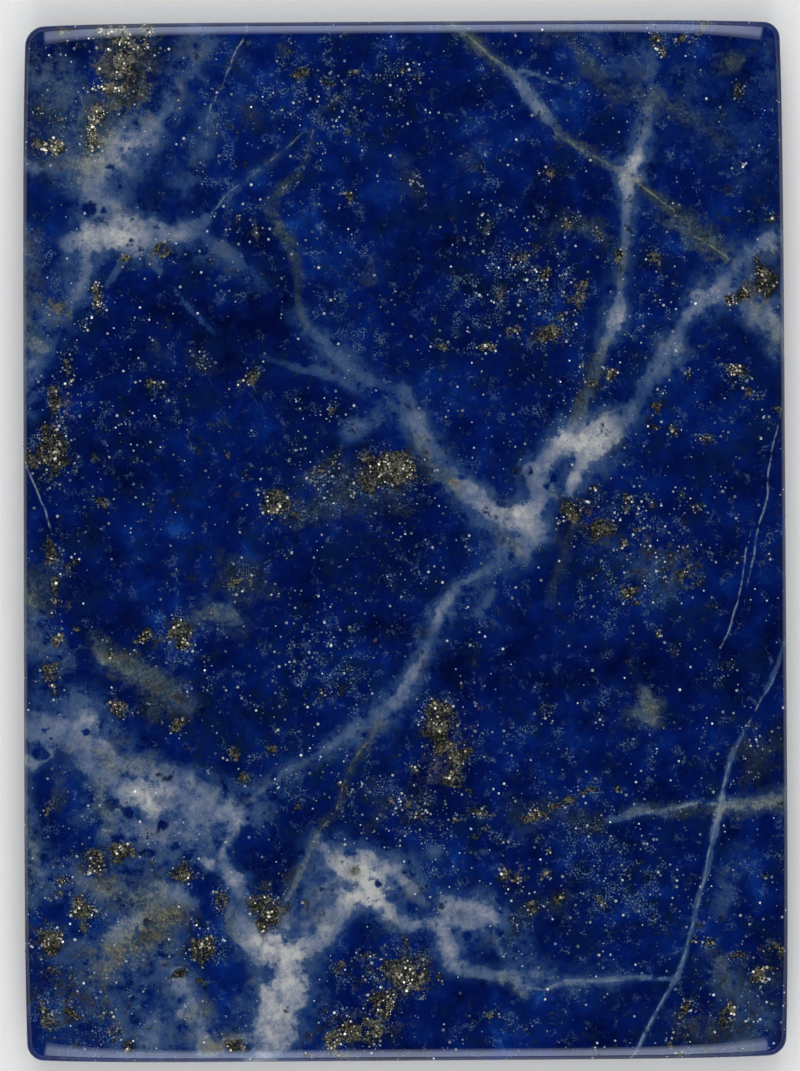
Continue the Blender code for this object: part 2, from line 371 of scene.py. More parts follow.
# Hairline cracks filled with pale mineral: X, Y and how clearly the line shows. Lines in one
# group keep well apart from each other.
CRACKS = {
    "a": {
        "steep": [
            (786, 642, .3), (769, 684, .3), (747, 723, .2), (732, 753, .3), (723, 788, .5),
            (719, 804, .8), (713, 828, .6), (704, 874, .5), (695, 912, .4), (684, 954, .5),
            (675, 975, .6), (665, 993, .5), (655, 1012, .5), (645, 1031, .6), (636, 1050, .6),
            (630, 1066, .5)],
        "left": [(26, 464, .4), (32, 480, .7), (39, 496, .8), (46, 510, .8), (52, 528, .4)],
        "top left": [
            (250, 26, .3), (245, 36, .5), (237, 51, .5), (230, 69, .5), (222, 89, .4), (212, 105, .4),
            (208, 122, .3), (206, 150, .2)],
    },
    "b": {
        "right": [
            (779, 419, .6), (772, 444, .8), (767, 472, .7), (765, 498, .8), (759, 522, .7),
            (755, 546, .5), (749, 574, .3), (745, 592, .1)],
        "chain": [(520, 986, .4), (544, 988, .4), (566, 980, .5), (600, 979, .3), (676, 976, .3)],
    },
    "c": {
        "right, lower": [
            (748, 540, .3), (744, 560, .6), (741, 580, .7), (737, 598, .7), (733, 614, .7),
            (728, 631, .7), (720, 646, .5), (716, 668, .2)],
        "level": [
            (622, 817, .1), (637, 812, .3), (660, 811, .4), (676, 807, .6), (698, 801, .5),
            (719, 804, .4)],
        "thread": [
            (196, 222, .2), (214, 211, .3), (226, 196, .4), (240, 184, .3), (256, 173, .2),
            (284, 150, .2), (306, 131, .2)],
    },
    "olive": {
        "green": [
            (340, 98, .3), (324, 110, .3), (315, 124, .3), (310, 146, .3), (306, 162, .3),
            (296, 178, .4), (284, 190, .3)],
        "low green": [(368, 740, .2), (353, 760, .3), (343, 787, .2), (336, 812, .2), (321, 828, .2)],
        "high slant": [
            (446, 20, .5), (477, 46, .6), (494, 61, .7), (511, 73, .4), (530, 98, .0), (556, 136, .2),
            (576, 148, .5), (594, 158, .5), (612, 167, .4), (628, 176, .4), (640, 186, .7),
            (655, 199, .7), (670, 210, .5)],
        "olive slant, end": [(692, 238, .3), (706, 244, .6), (716, 250, .7), (725, 256, .6)],
    },
}

# Pyrite. Each patch is an ellipse: X, Y, reach across, reach along, how thickly it lies from
# 0 to 1, and its turn in degrees where it has one. The patches below are given likewise.
PYRITE = [
    (67, 36, 8, 7, .80), (84, 50, 10, 7, .55), (118, 36, 15, 8, .95), (150, 33, 7, 6, .95),
    (126, 62, 14, 20, .90, 20), (134, 48, 22, 16, .66), (120, 86, 18, 12, .60),
    (110, 92, 20, 8, .92, -12), (40, 112, 7, 6, .70), (62, 122, 11, 7, .50), (96, 130, 9, 21, .88),
    (48, 148, 17, 10, .80), (82, 156, 3, 3, .90), (45, 165, 5, 5, .40), (300, 72, 8, 6, .85),
    (328, 82, 7, 7, .70), (352, 70, 11, 5, .65, 30), (390, 78, 8, 12, .50), (283, 53, 4, 4, .60),
    (270, 95, 6, 4, .45), (99, 300, 6, 16, .92, 16), (87, 332, 5, 8, .60, 20), (165, 250, 9, 13, .80),
    (130, 256, 6, 6, .65), (244, 222, 8, 7, .60), (260, 234, 9, 9, .50), (346, 198, 7, 10, .60),
    (350, 130, 4, 4, .80), (200, 160, 4, 14, .50), (210, 264, 5, 5, .50), (332, 305, 12, 10, .34),
    (378, 340, 8, 8, .40), (388, 300, 6, 6, .40), (52, 448, 16, 27, 1.05, 6), (32, 458, 8, 12, .95),
    (58, 404, 8, 20, .85, 14), (70, 376, 6, 13, .80, 4), (247, 375, 8, 14, .90, -28),
    (200, 361, 9, 8, .50), (152, 388, 9, 7, .65), (146, 440, 7, 6, .60), (104, 372, 7, 9, .45),
    (93, 452, 5, 6, .50), (51, 556, 5, 22, .85), (53, 592, 6, 14, .90), (72, 567, 6, 10, .75),
    (104, 506, 10, 8, .60), (86, 532, 7, 5, .50), (132, 486, 8, 4, .40), (277, 502, 12, 12, .95),
    (293, 514, 10, 8, .60), (392, 470, 30, 16, 1.0, -8), (366, 480, 12, 14, .80),
    (330, 462, 11, 8, .55), (318, 474, 8, 6, .70), (304, 490, 10, 4, .60), (226, 454, 8, 4, .65, -30),
    (246, 474, 8, 3, .60, -20), (298, 456, 12, 10, .42), (344, 492, 8, 6, .60), (380, 500, 16, 6, .50),
    (240, 580, 20, 13, .52), (236, 586, 7, 7, .85), (280, 590, 8, 5, .50), (181, 631, 11, 15, .82),
    (143, 640, 9, 9, .85), (118, 706, 10, 12, .75), (112, 654, 10, 9, .55), (60, 640, 6, 9, .90),
    (78, 625, 9, 3, .80), (55, 680, 10, 13, .88), (204, 612, 6, 4, .60), (333, 412, 13, 8, .52),
    (300, 404, 5, 7, .50), (351, 625, 7, 8, .55), (290, 555, 9, 5, .50), (235, 530, 8, 4, .40),
    (258, 636, 5, 3, .50), (373, 640, 4, 4, .60), (345, 668, 5, 5, .60), (292, 672, 7, 4, .50),
    (306, 690, 8, 8, .50), (324, 700, 6, 10, .60), (150, 705, 5, 4, .50), (202, 660, 6, 4, .50),
    (404, 68, 5, 6, .80), (419, 76, 8, 10, .60), (400, 104, 14, 22, .38), (548, 178, 11, 10, .62),
    (519, 62, 3, 3, .70), (572, 226, 14, 9, .66), (598, 238, 8, 9, .60), (485, 231, 6, 12, .55),
    (415, 180, 12, 10, .40), (484, 165, 6, 5, .40), (520, 258, 16, 11, .56), (541, 270, 9, 6, .86),
    (500, 298, 10, 22, .55, 15), (575, 300, 14, 12, .62), (585, 284, 9, 10, .80),
    (552, 335, 20, 9, .72, -10), (482, 346, 16, 6, .72, 8), (447, 350, 8, 6, .86),
    (516, 330, 10, 8, .66), (560, 318, 10, 6, .60), (440, 316, 5, 6, .60), (466, 303, 12, 9, .40),
    (621, 262, 3, 13, .90), (655, 262, 8, 10, .75), (661, 301, 4, 6, .85), (655, 44, 4, 9, .95, -10),
    (660, 56, 5, 5, .90), (681, 42, 4, 5, .95), (703, 30, 13, 4, .80, 12), (640, 28, 7, 3, .50),
    (737, 92, 7, 8, .62), (718, 118, 8, 6, .44), (765, 280, 12, 20, 1.0), (737, 299, 9, 8, .95),
    (760, 258, 8, 8, .70), (770, 221, 12, 7, .50), (735, 232, 4, 6, .60), (742, 168, 6, 5, .40),
    (610, 373, 7, 9, .82), (590, 388, 9, 7, .62), (563, 404, 4, 5, .60), (581, 368, 4, 4, .60),
    (722, 367, 8, 4, .62, 10), (738, 373, 9, 8, .90), (744, 394, 6, 9, .70, -20),
    (757, 403, 7, 3, .74, -20), (773, 409, 6, 4, .90), (661, 409, 5, 6, .80), (655, 426, 5, 5, .70),
    (674, 427, 6, 6, .75), (696, 440, 10, 8, .74), (712, 455, 4, 5, .50), (662, 390, 5, 5, .60),
    (688, 376, 4, 6, .70), (576, 513, 13, 16, .95), (604, 531, 12, 9, .90), (619, 546, 9, 6, .74),
    (597, 486, 4, 5, .75), (625, 500, 7, 9, .78), (634, 527, 4, 4, .80), (624, 512, 4, 4, .70),
    (655, 505, 8, 5, .50), (677, 498, 9, 7, .52), (694, 504, 12, 6, .50), (714, 487, 10, 8, .44),
    (735, 530, 9, 7, .46), (686, 575, 9, 17, .76), (664, 568, 12, 12, .56), (630, 590, 15, 8, .76),
    (632, 604, 6, 4, .85), (660, 632, 5, 6, .74), (700, 584, 6, 8, .50), (536, 552, 5, 7, .50),
    (472, 541, 4, 4, .60), (474, 645, 8, 5, .70, -20), (460, 682, 4, 11, .50), (545, 708, 7, 9, .52),
    (676, 650, 10, 8, .44), (724, 664, 6, 10, .50, 10), (436, 716, 17, 15, .96),
    (440, 738, 17, 12, .92), (460, 757, 13, 14, .96), (452, 781, 13, 10, .92), (468, 790, 6, 6, .60),
    (418, 766, 9, 6, .70), (406, 806, 12, 14, .50), (420, 822, 18, 10, .60), (430, 800, 10, 10, .50),
    (452, 817, 5, 4, .74), (484, 815, 15, 5, .66), (533, 812, 15, 6, .94), (556, 804, 11, 6, .86, 10),
    (573, 797, 11, 6, .86, 10), (594, 791, 10, 5, .86, 12), (616, 785, 8, 4, .76, 10),
    (592, 828, 20, 9, .46), (545, 818, 14, 7, .46), (474, 836, 6, 3, .66), (488, 833, 6, 4, .70),
    (504, 841, 11, 4, .78, -8), (541, 836, 4, 3, .74), (505, 874, 9, 9, .88, 20),
    (518, 880, 8, 7, .84), (546, 871, 5, 4, .72), (549, 851, 8, 5, .60), (441, 877, 4, 6, .60),
    (535, 906, 8, 5, .84, 10), (561, 902, 8, 6, .84), (522, 918, 12, 8, .60, 20),
    (508, 938, 9, 7, .46), (602, 900, 4, 5, .84), (577, 900, 4, 5, .60), (713, 941, 5, 6, .94),
    (737, 952, 7, 6, .80), (757, 975, 9, 12, .92), (777, 944, 7, 16, .66, 20),
    (770, 966, 9, 4, .84, 12), (681, 1010, 5, 13, .76), (725, 1012, 8, 13, .90),
    (670, 1040, 6, 9, .64), (681, 1053, 4, 6, .95), (708, 1051, 5, 4, .95), (690, 1040, 10, 9, .44),
    (744, 1030, 22, 18, .42), (762, 877, 5, 10, .44), (752, 905, 8, 6, .44), (491, 1013, 6, 3, .84),
    (551, 1013, 5, 3, .60), (525, 1027, 5, 4, .40), (593, 1051, 5, 3, .70), (635, 1055, 4, 2, .95),
    (666, 930, 8, 4, .50), (693, 940, 4, 5, .60), (691, 972, 4, 6, .50), (122, 714, 10, 7, .76),
    (178, 727, 9, 7, .62), (162, 722, 6, 4, .50), (233, 751, 9, 7, .70), (270, 750, 7, 7, .66),
    (243, 773, 6, 8, .66), (206, 766, 6, 5, .44), (262, 716, 6, 5, .50), (96, 863, 13, 12, .86),
    (120, 853, 11, 10, .86), (184, 872, 11, 7, .80), (155, 864, 5, 5, .60), (222, 896, 8, 14, .86),
    (265, 914, 17, 19, .96), (289, 902, 6, 15, .80, 10), (309, 897, 5, 4, .66), (68, 884, 10, 7, .76),
    (58, 896, 6, 5, .60), (83, 909, 13, 12, .84), (84, 926, 6, 5, .70), (103, 924, 4, 4, .60),
    (51, 943, 13, 13, .92), (48, 972, 13, 7, .84), (71, 976, 6, 6, .60), (71, 993, 6, 4, .76),
    (205, 942, 14, 15, 1.0), (195, 922, 5, 5, .64), (187, 951, 6, 5, .66), (180, 971, 9, 7, .94),
    (199, 981, 5, 7, .74), (47, 1012, 11, 13, .84), (73, 1009, 8, 7, .84), (103, 1024, 12, 14, .56),
    (108, 1036, 3, 4, .95), (125, 1044, 8, 6, .86), (146, 1022, 3, 3, .95), (97, 990, 5, 3, .60),
    (236, 1045, 14, 9, .96), (152, 1055, 4, 3, .90), (98, 1055, 4, 2, .80), (404, 975, 24, 20, .95),
    (343, 966, 10, 10, .74), (370, 956, 12, 7, .60), (318, 978, 6, 5, .50), (376, 1000, 18, 12, .90),
    (352, 1026, 22, 14, .84), (334, 1040, 10, 12, .84), (345, 1052, 9, 5, .95),
    (374, 1030, 10, 18, .80), (312, 1052, 4, 3, .80), (52, 806, 5, 13, .64), (388, 798, 9, 7, .60),
    (296, 808, 4, 5, .74), (344, 787, 5, 6, .60), (356, 780, 8, 10, .46), (371, 792, 10, 12, .44),
    (128, 766, 3, 4, .80), (148, 934, 6, 4, .50), (110, 903, 4, 3, .60), (318, 664, 40, 44, .30),
    (250, 690, 60, 30, .22), (520, 290, 66, 62, .38), (640, 560, 56, 46, .34), (620, 880, 60, 50, .30),
    (340, 484, 50, 26, .36), (640, 520, 40, 30, .34), (400, 560, 40, 40, .20),
    (730, 1010, 46, 40, .26), (90, 960, 70, 90, .24), (120, 420, 60, 60, .20), (330, 100, 80, 50, .22),
    (760, 750, 22, 40, .34), (420, 820, 60, 40, .20), (320, 780, 60, 40, .26), (680, 320, 40, 40, .16),
    (560, 430, 60, 60, .16),
]

# Where the pyrite and its ground are paler (above 0) or duller (below 0)
GLEAMS = [
    (126, 60, 36, 42, 1.0, 10), (98, 132, 22, 30, 1.1), (48, 148, 18, 12, .6), (100, 308, 10, 22, .5),
    (52, 448, 22, 34, -.6), (765, 282, 20, 26, -.7), (404, 975, 34, 28, .1), (356, 1026, 30, 24, .1),
    (392, 472, 30, 18, .25), (206, 942, 18, 18, -.2), (265, 912, 20, 20, .1), (60, 630, 14, 40, .4),
    (740, 385, 30, 26, .3),
]

# Brown and olive stains with little or no pyrite in them, and how strong they are
STAINS = [
    (61, 306, 15, 12, .62), (56, 862, 9, 8, .50), (448, 480, 11, 6, .46, -40),
    (584, 398, 8, 14, .50, 20), (662, 548, 30, 20, .44), (640, 570, 20, 14, .36),
    (686, 560, 16, 20, .40), (756, 290, 24, 22, .50), (355, 871, 5, 4, .66),
    (118, 656, 16, 8, .50, -10), (160, 690, 22, 14, .36, -30), (166, 914, 22, 14, .58),
    (150, 936, 18, 10, .56), (404, 972, 28, 22, .60), (356, 1024, 34, 26, .46),
    (270, 900, 24, 22, .44), (740, 960, 26, 20, .30), (716, 1020, 30, 22, .34), (60, 610, 12, 30, .30),
    (66, 400, 10, 30, .50, 8), (126, 74, 28, 38, .78, 10), (48, 148, 22, 14, .50),
    (392, 476, 38, 22, .50), (48, 940, 20, 18, .44), (96, 872, 26, 20, .46), (176, 636, 18, 14, .34),
    (514, 878, 18, 12, .40), (446, 750, 26, 44, .46, -24), (420, 820, 26, 18, .26),
    (590, 524, 30, 20, .50, -30), (222, 1046, 26, 12, .44), (104, 1024, 18, 18, .34),
    (540, 262, 26, 16, .30), (540, 334, 30, 14, .26), (76, 1000, 40, 30, .42), (110, 960, 34, 20, .52),
    (738, 302, 14, 10, .40), (60, 660, 14, 24, .36), (752, 750, 20, 30, .28), (280, 506, 20, 14, .40),
    (690, 1030, 20, 18, .26),
]

# Islands of blue inside the veins, and how clear they are
ISLANDS = [
    (40, 752, 8, 7, 1.0), (88, 732, 4, 4, .90), (66, 716, 5, 3, .70), (44, 728, 4, 3, .60),
    (165, 824, 5, 5, .90), (112, 800, 8, 9, .80, 20), (130, 812, 6, 7, .80), (62, 794, 16, 19, 1.0),
    (112, 168, 5, 3, .85, -30), (104, 212, 4, 4, .70), (88, 212, 9, 7, .60), (134, 150, 6, 5, .50),
    (553, 476, 4, 6, .80, 20), (546, 486, 3, 4, .50), (150, 922, 6, 5, .95), (252, 846, 18, 20, 1.0),
    (176, 846, 7, 5, .60), (120, 838, 9, 6, .60), (148, 852, 7, 6, .60), (188, 854, 8, 5, .60, 20),
    (202, 930, 4, 6, .50), (96, 818, 9, 8, .60), (378, 884, 4, 3, .50), (430, 944, 5, 5, .60),
    (466, 934, 7, 6, .80), (412, 906, 6, 5, .60), (700, 330, 8, 10, .60), (664, 386, 4, 5, .50),
    (528, 470, 4, 6, .40),
]

# Where the blue is lighter (above 0) or darker (below 0)
BLUES = [
    (300, 210, 30, 50, .30, 10), (170, 520, 60, 50, .34), (620, 420, 90, 60, .16),
    (640, 740, 80, 60, -.30), (430, 150, 60, 60, .34), (250, 330, 50, 40, -.24),
    (700, 620, 40, 40, .04), (610, 670, 60, 30, -.30), (460, 240, 50, 60, -.30),
    (390, 560, 60, 60, -.22), (84, 800, 16, 24, .30), (262, 862, 30, 34, -.20),
    (236, 996, 30, 30, .30), (52, 254, 16, 20, .30), (60, 130, 40, 40, -.10), (500, 460, 40, 40, .14),
    (470, 880, 30, 30, .16), (640, 900, 60, 60, -.06), (740, 900, 40, 40, .12),
    (560, 620, 40, 30, .10), (560, 740, 50, 50, .06), (180, 420, 60, 50, -.10),
    (430, 420, 40, 60, .16), (700, 170, 60, 40, -.20), (560, 120, 60, 40, .06),
    (250, 130, 40, 60, .14), (44, 1046, 30, 30, .20), (760, 1020, 26, 40, .20), (34, 330, 16, 20, .60),
    (28, 520, 12, 40, .24), (330, 940, 20, 20, .30),
]


# Outline and mesh of the slab

def outward(start, end):
    """The unit normal to the right of the way from start to end."""
    along = (end - start) / np.linalg.norm(end - start)
    return np.array((along[1], -along[0]))


def inset_corner(before, corner, after, inset):
    """A corner moved inwards by the same distance from both of its sides."""
    first, last = outward(before, corner), outward(corner, after)
    return corner - (first + last) * inset / (1 + first @ last)


def corner_arc(before, corner, after, radius, cells):
    """The points of a rounded corner, from the side that arrives to the side that leaves."""
    first, last = outward(before, corner), outward(corner, after)
    centre = corner - (first + last) * radius / (1 + first @ last)
    begin = math.atan2(first[1], first[0])
    sweep = math.acos(np.clip(first @ last, -1, 1))
    angles = begin + sweep * np.linspace(0, 1, cells + 1)
    return centre + radius * np.column_stack((np.cos(angles), np.sin(angles)))


def side_line(start, end, bulge, cells):
    """The inner points of a side, standing proud of the straight line by bulge at its middle."""
    share = np.linspace(0, 1, cells + 1)[1:-1, None]
    shape = 1 - np.abs(2 * share - 1) ** BOW_POWER
    return start + (end - start) * share + outward(start, end) * bulge * shape


def loop(corner_inset, middle_inset, rounding):
    """A closed line round the slab, that far inside its outline at the corners and mid-side.

    rounding is 1 where the corners have the outline's radii and 0 where they are nearly sharp.
    The first point is in the middle of the near left corner.
    """
    places = [np.array(corner[:2]) for corner in CORNERS]
    inner = [
        inset_corner(places[i - 1], places[i], places[(i + 1) % 4], corner_inset)
        for i in range(4)
    ]
    arcs = [
        corner_arc(inner[i - 1], inner[i], inner[(i + 1) % 4],
                   INNER_CORNER + (CORNERS[i][2] - INNER_CORNER) * rounding, CORNER_CELLS)
        for i in range(4)
    ]
    bulge = SIDE_BOW + corner_inset - middle_inset
    points = []
    for i, arc in enumerate(arcs):
        cells = (CELLS_ACROSS if i % 2 == 0 else CELLS_ALONG) - CORNER_CELLS
        points += [arc, side_line(arc[-1], arcs[(i + 1) % 4][0], bulge, cells)]
    return np.roll(np.concatenate(points), -(CORNER_CELLS // 2), axis=0)


def outline_middle():
    """The middle of the outline's box, which lies over the origin."""
    ring = loop(0.0, 0.0, 1.0)
    return (ring.min(axis=0) + ring.max(axis=0)) / 2


def sheet_over(ring, across, along):
    """A grid of points that fills a ring, row by row from the near side."""
    near = ring[:across + 1]
    right = ring[across:across + along + 1]
    far = ring[across + along:2 * across + along + 1][::-1]
    left = np.concatenate((ring[2 * across + along:], ring[:1]))[::-1]
    u = np.linspace(0, 1, across + 1)[None, :, None]
    v = np.linspace(0, 1, along + 1)[:, None, None]
    between_rows = (1 - v) * near[None] + v * far[None]
    between_columns = (1 - u) * left[:, None] + u * right[:, None]
    corners = ((1 - u) * (1 - v) * near[0] + u * (1 - v) * near[-1]
               + (1 - u) * v * far[0] + u * v * far[-1])
    return between_rows + between_columns - corners


def grid_border(across, along):
    """The indices of a grid's border, in the order of the ring that it fills."""
    row = across + 1
    near = list(range(across))
    right = [across + row * j for j in range(along)]
    far = [row * along + across - i for i in range(across)]
    left = [row * (along - j) for j in range(along)]
    return near + right + far + left


class Shell:
    """Points and faces of a closed surface as it grows ring by ring."""

    def __init__(self):
        self.points = []
        self.faces = []
        self.count = 0

    def add_points(self, flat, height):
        """Adds points at one height, or each at its own, and gives their numbers."""
        flat = np.asarray(flat).reshape(-1, 2)
        self.points.append(np.column_stack((flat, np.full(len(flat), height))))
        self.count += len(flat)
        return list(range(self.count - len(flat), self.count))

    def add_grid(self, ring, height, across, along, faces_up):
        """Fills a ring with a grid of square faces and gives the ring's points."""
        sheet = sheet_over(ring, across, along)
        ids = np.array(self.add_points(sheet, height)).reshape(along + 1, across + 1)
        quads = np.stack((ids[:-1, :-1], ids[:-1, 1:], ids[1:, 1:], ids[1:, :-1]), axis=-1)
        quads = quads.reshape(-1, 4)
        if not faces_up:
            quads = quads[:, ::-1]
        self.faces += quads.tolist()
        return [int(ids.flat[i]) for i in grid_border(across, along)]

    def add_band(self, upper, lower):
        """Joins two rings of the same count with faces that look outwards."""
        next_lower = lower[1:] + lower[:1]
        next_upper = upper[1:] + upper[:1]
        self.faces += [list(face) for face in zip(upper, lower, next_lower, next_upper)]

    def add_halving_band(self, upper, lower):
        """Joins a ring to one of half its count."""
        for i in range(len(lower)):
            first, middle, last = (upper[(2 * i + k) % len(upper)] for k in range(3))
            under, following = lower[i], lower[(i + 1) % len(lower)]
            self.faces += [
                [first, under, middle], [middle, under, following], [middle, following, last]]


def ring_roundness():
    """The upper rim's radius at each point of a ring, from the near left corner on."""
    shape = []
    for cells in (CELLS_ACROSS, CELLS_ALONG) * 2:
        share = np.arange(cells) / cells
        shape.append(1 - np.abs(2 * share - 1) ** BOW_POWER)
    return TOP_ROUND_CORNER + (TOP_ROUND_MIDSIDE - TOP_ROUND_CORNER) * np.concatenate(shape)


def slab_shell():
    """The whole slab: the face, the rolled rim, the walls, the lower rim and the underside."""
    shell = Shell()
    middle = outline_middle()
    roundness = ring_roundness()

    def top_ring(angle):
        """A ring on the upper rim, where angle is 0 at the wall and a quarter turn on the top."""
        reach = 1 - math.cos(angle)
        ring = loop(TOP_ROUND_CORNER * reach, TOP_ROUND_MIDSIDE * reach, 1 - reach) - middle
        return ring, THICKNESS - roundness * (1 - math.sin(angle))

    flat_ring, _ = top_ring(math.pi / 2)
    ring_ids = shell.add_grid(flat_ring, THICKNESS, CELLS_ACROSS, CELLS_ALONG, True)
    for step in range(1, TOP_RIM_STEPS + 1):
        ids = shell.add_points(*top_ring(math.pi / 2 * (1 - step / TOP_RIM_STEPS)))
        shell.add_band(ring_ids, ids)
        ring_ids = ids

    wall = loop(0.0, 0.0, 1.0)[::2] - middle
    wall_top = (THICKNESS - roundness)[::2]
    for step in range(1, SIDE_STEPS + 1):
        share = step / SIDE_STEPS
        ids = shell.add_points(wall, wall_top + (BOTTOM_ROUND - wall_top) * share)
        join = shell.add_halving_band if step == 1 else shell.add_band
        join(ring_ids, ids)
        ring_ids = ids

    for step in range(1, BOTTOM_RIM_STEPS):
        angle = math.pi / 2 * step / BOTTOM_RIM_STEPS
        reach = BOTTOM_ROUND * (1 - math.cos(angle))
        ring = loop(reach, reach, 1 - reach)[::2] - middle
        ids = shell.add_points(ring, BOTTOM_ROUND * (1 - math.sin(angle)))
        shell.add_band(ring_ids, ids)
        ring_ids = ids
    base_ring = loop(BOTTOM_ROUND, BOTTOM_ROUND, 1 - BOTTOM_ROUND)[::2] - middle
    ids = shell.add_grid(base_ring, 0.0, CELLS_ACROSS // 2, CELLS_ALONG // 2, False)
    shell.add_band(ring_ids, ids)
    return shell


def add_to_scene(name, data):
    """An object that holds data, linked to the scene."""
    added = bpy.data.objects.new(name, data)
    bpy.context.scene.collection.objects.link(added)
    return added


def slab_object():
    """The slab as an object, and its points in millimetres."""
    shell = slab_shell()
    points = np.concatenate(shell.points)
    mesh = bpy.data.meshes.new("polished_stone")
    mesh.from_pydata((points * MM).tolist(), [], shell.faces)
    mesh.shade_smooth()
    mesh.update()
    return add_to_scene("polished_stone", mesh), points


# Reading the plan

# Knots of the random lattice each way, after which it repeats
LATTICE = 64

# The markings' wander with depth: how far off its noise is read, its cell and its two seeds
WANDER_PLACE = (0, 0, 100)
WANDER_CELL = 9.0
WANDER_SEEDS = (5, 6)

# The plan is shaken before a marking is read from it, so that nothing on it runs quite smooth: by
# how many tenths of a millimetre, with which seed, and in cells of how many millimetres
SHAKES = {
    "veins": (1.3, 20, 4.0),
    "drifts": (3.0, 60, 4.0),
    "soft": (3.5, 20, 4.0),
    "pyrite": (6.5, 80, 1.7),
    "islands": (2.6, 90, 4.0),
    "cracks": (1.5, 40, 4.0),
}

# A finer shaking goes on top: its share, its cells beside the coarse ones, and how much higher
# its seeds are
FINER_SHARE = 0.5
FINER_CELL = 0.4
FINER_SEED = 10

# How deep inside a vein a place counts where no vein is near. Its white comes from all the veins,
# the nearer the more: how strongly, down to which depth, and a weight that keeps the share finite.
VEIN_FLOOR = -2.0
NEAREST_PULL = 4
LEAST_DEPTH = -3
LEAST_WEIGHT = 1e-6

# How fast a patch fades from its middle, and how suddenly: most of them softly, islands firmly
PATCH_FALL = 0.7
SOFT_PATCH = 2.0
FIRM_PATCH = 4.0

# How far from a crack, in tenths of a millimetre, a place can lie and still know of it
CRACK_REACH = 99.0


def even_noise(places, cell, seed):
    """Smooth random values from -1 to 1 at 3-D places, with one knot every cell."""
    knots = np.random.default_rng(seed).uniform(-1, 1, (LATTICE, LATTICE, LATTICE))
    scaled = places / cell
    base = np.floor(scaled).astype(int)
    part = scaled - base
    part = part * part * (3 - 2 * part)
    total = np.zeros(len(places))
    for corner in np.ndindex(2, 2, 2):
        index = (base + corner) % LATTICE
        share = np.prod(np.where(corner, part, 1 - part), axis=1)
        total += share * knots[index[:, 0], index[:, 1], index[:, 2]]
    return total


def on_plan(points):
    """Where each point of the slab, in millimetres, lies on the plan of the markings."""
    depth = THICKNESS - points[:, 2]
    slide = np.outer(depth, DIP)
    for axis, seed in enumerate(WANDER_SEEDS):
        noise = even_noise(points + WANDER_PLACE, WANDER_CELL, seed)
        slide[:, axis] += WANDER_WITH_DEPTH * depth * noise
    x = PLAN_MIDDLE[0] + (points[:, 0] + slide[:, 0]) / PLAN_UNIT
    y = PLAN_MIDDLE[1] - (points[:, 1] + slide[:, 1]) / PLAN_UNIT
    return np.column_stack((x, y))


def shaken(plan, points, strength, seed, cell):
    """Plan places moved about a little."""
    moved = plan.copy()
    for axis in range(2):
        coarse = even_noise(points, cell, seed + axis)
        finer = even_noise(points, FINER_CELL * cell, seed + FINER_SEED + axis)
        moved[:, axis] += strength * (coarse + FINER_SHARE * finer)
    return moved


def nearest_on_line(plan, line):
    """For each place: its distance to the line, which side of it the place is on, and the line's
    own numbers where it is nearest."""
    line = np.array(line, float)
    best = np.full(len(plan), np.inf)
    side = np.zeros(len(plan))
    numbers = np.zeros((len(plan), line.shape[1] - 2))
    for start, end in zip(line[:-1], line[1:]):
        along = end[:2] - start[:2]
        offset = plan - start[:2]
        share = np.clip(offset @ along / (along @ along), 0, 1)[:, None]
        gap = offset - share * along
        distance = np.hypot(gap[:, 0], gap[:, 1])
        closer = distance < best
        best = np.where(closer, distance, best)
        cross = along[0] * offset[:, 1] - along[1] * offset[:, 0]
        side = np.where(closer, np.sign(cross), side)
        numbers = np.where(closer[:, None], start[2:] + share * (end[2:] - start[2:]), numbers)
    return best, side, *numbers.T


def vein_fields(plan, lines):
    """How deep inside a vein each place is (1 on its line, 0 at its edge), and how white."""
    inside = np.full(len(plan), VEIN_FLOOR)
    white = np.zeros(len(plan))
    weight = np.full(len(plan), LEAST_WEIGHT)
    for line in lines.values():
        distance, _, width, strength = nearest_on_line(plan, line)
        depth = 1 - distance / width
        inside = np.maximum(inside, depth)
        pull = np.exp(NEAREST_PULL * np.clip(depth, LEAST_DEPTH, 1))
        white += pull * strength
        weight += pull
    return inside, white / weight


def cloud_field(plan, lines):
    """Soft cover from 0 to 1 of clouds drawn as lines."""
    clear = np.ones(len(plan))
    for line in lines.values():
        distance, _, reach, strength = nearest_on_line(plan, line)
        clear *= 1 - strength * np.exp(-(distance / reach) ** 2)
    return 1 - clear


def patch(plan, sharpness, x, y, across, along, strength, turn=0):
    """The soft cover of one patch on the plan."""
    angle = math.radians(turn)
    offset = plan - (x, y)
    u = (offset[:, 0] * math.cos(angle) - offset[:, 1] * math.sin(angle)) / across
    v = (offset[:, 0] * math.sin(angle) + offset[:, 1] * math.cos(angle)) / along
    return strength * np.exp(-PATCH_FALL * (u * u + v * v) ** (sharpness / 2))


def strongest_patch(plan, patches, sharpness=SOFT_PATCH):
    """The cover of the strongest of the patches at each place."""
    total = np.zeros(len(plan))
    for numbers in patches:
        total = np.maximum(total, patch(plan, sharpness, *numbers))
    return total


def all_patches(plan, patches):
    """Patches that lift or lower, all added up."""
    return sum(patch(plan, SOFT_PATCH, *numbers) for numbers in patches)


def crack_fields(plan, lines):
    """The signed distance to the nearest crack in millimetres, and how clearly it shows."""
    best = np.full(len(plan), CRACK_REACH)
    signed = best * PLAN_UNIT
    shows = np.zeros(len(plan))
    for line in lines.values():
        distance, side, clearness = nearest_on_line(plan, line)
        closer = distance < best
        best = np.where(closer, distance, best)
        signed = np.where(closer, distance * side * PLAN_UNIT, signed)
        shows = np.where(closer, clearness, shows)
    return signed, shows


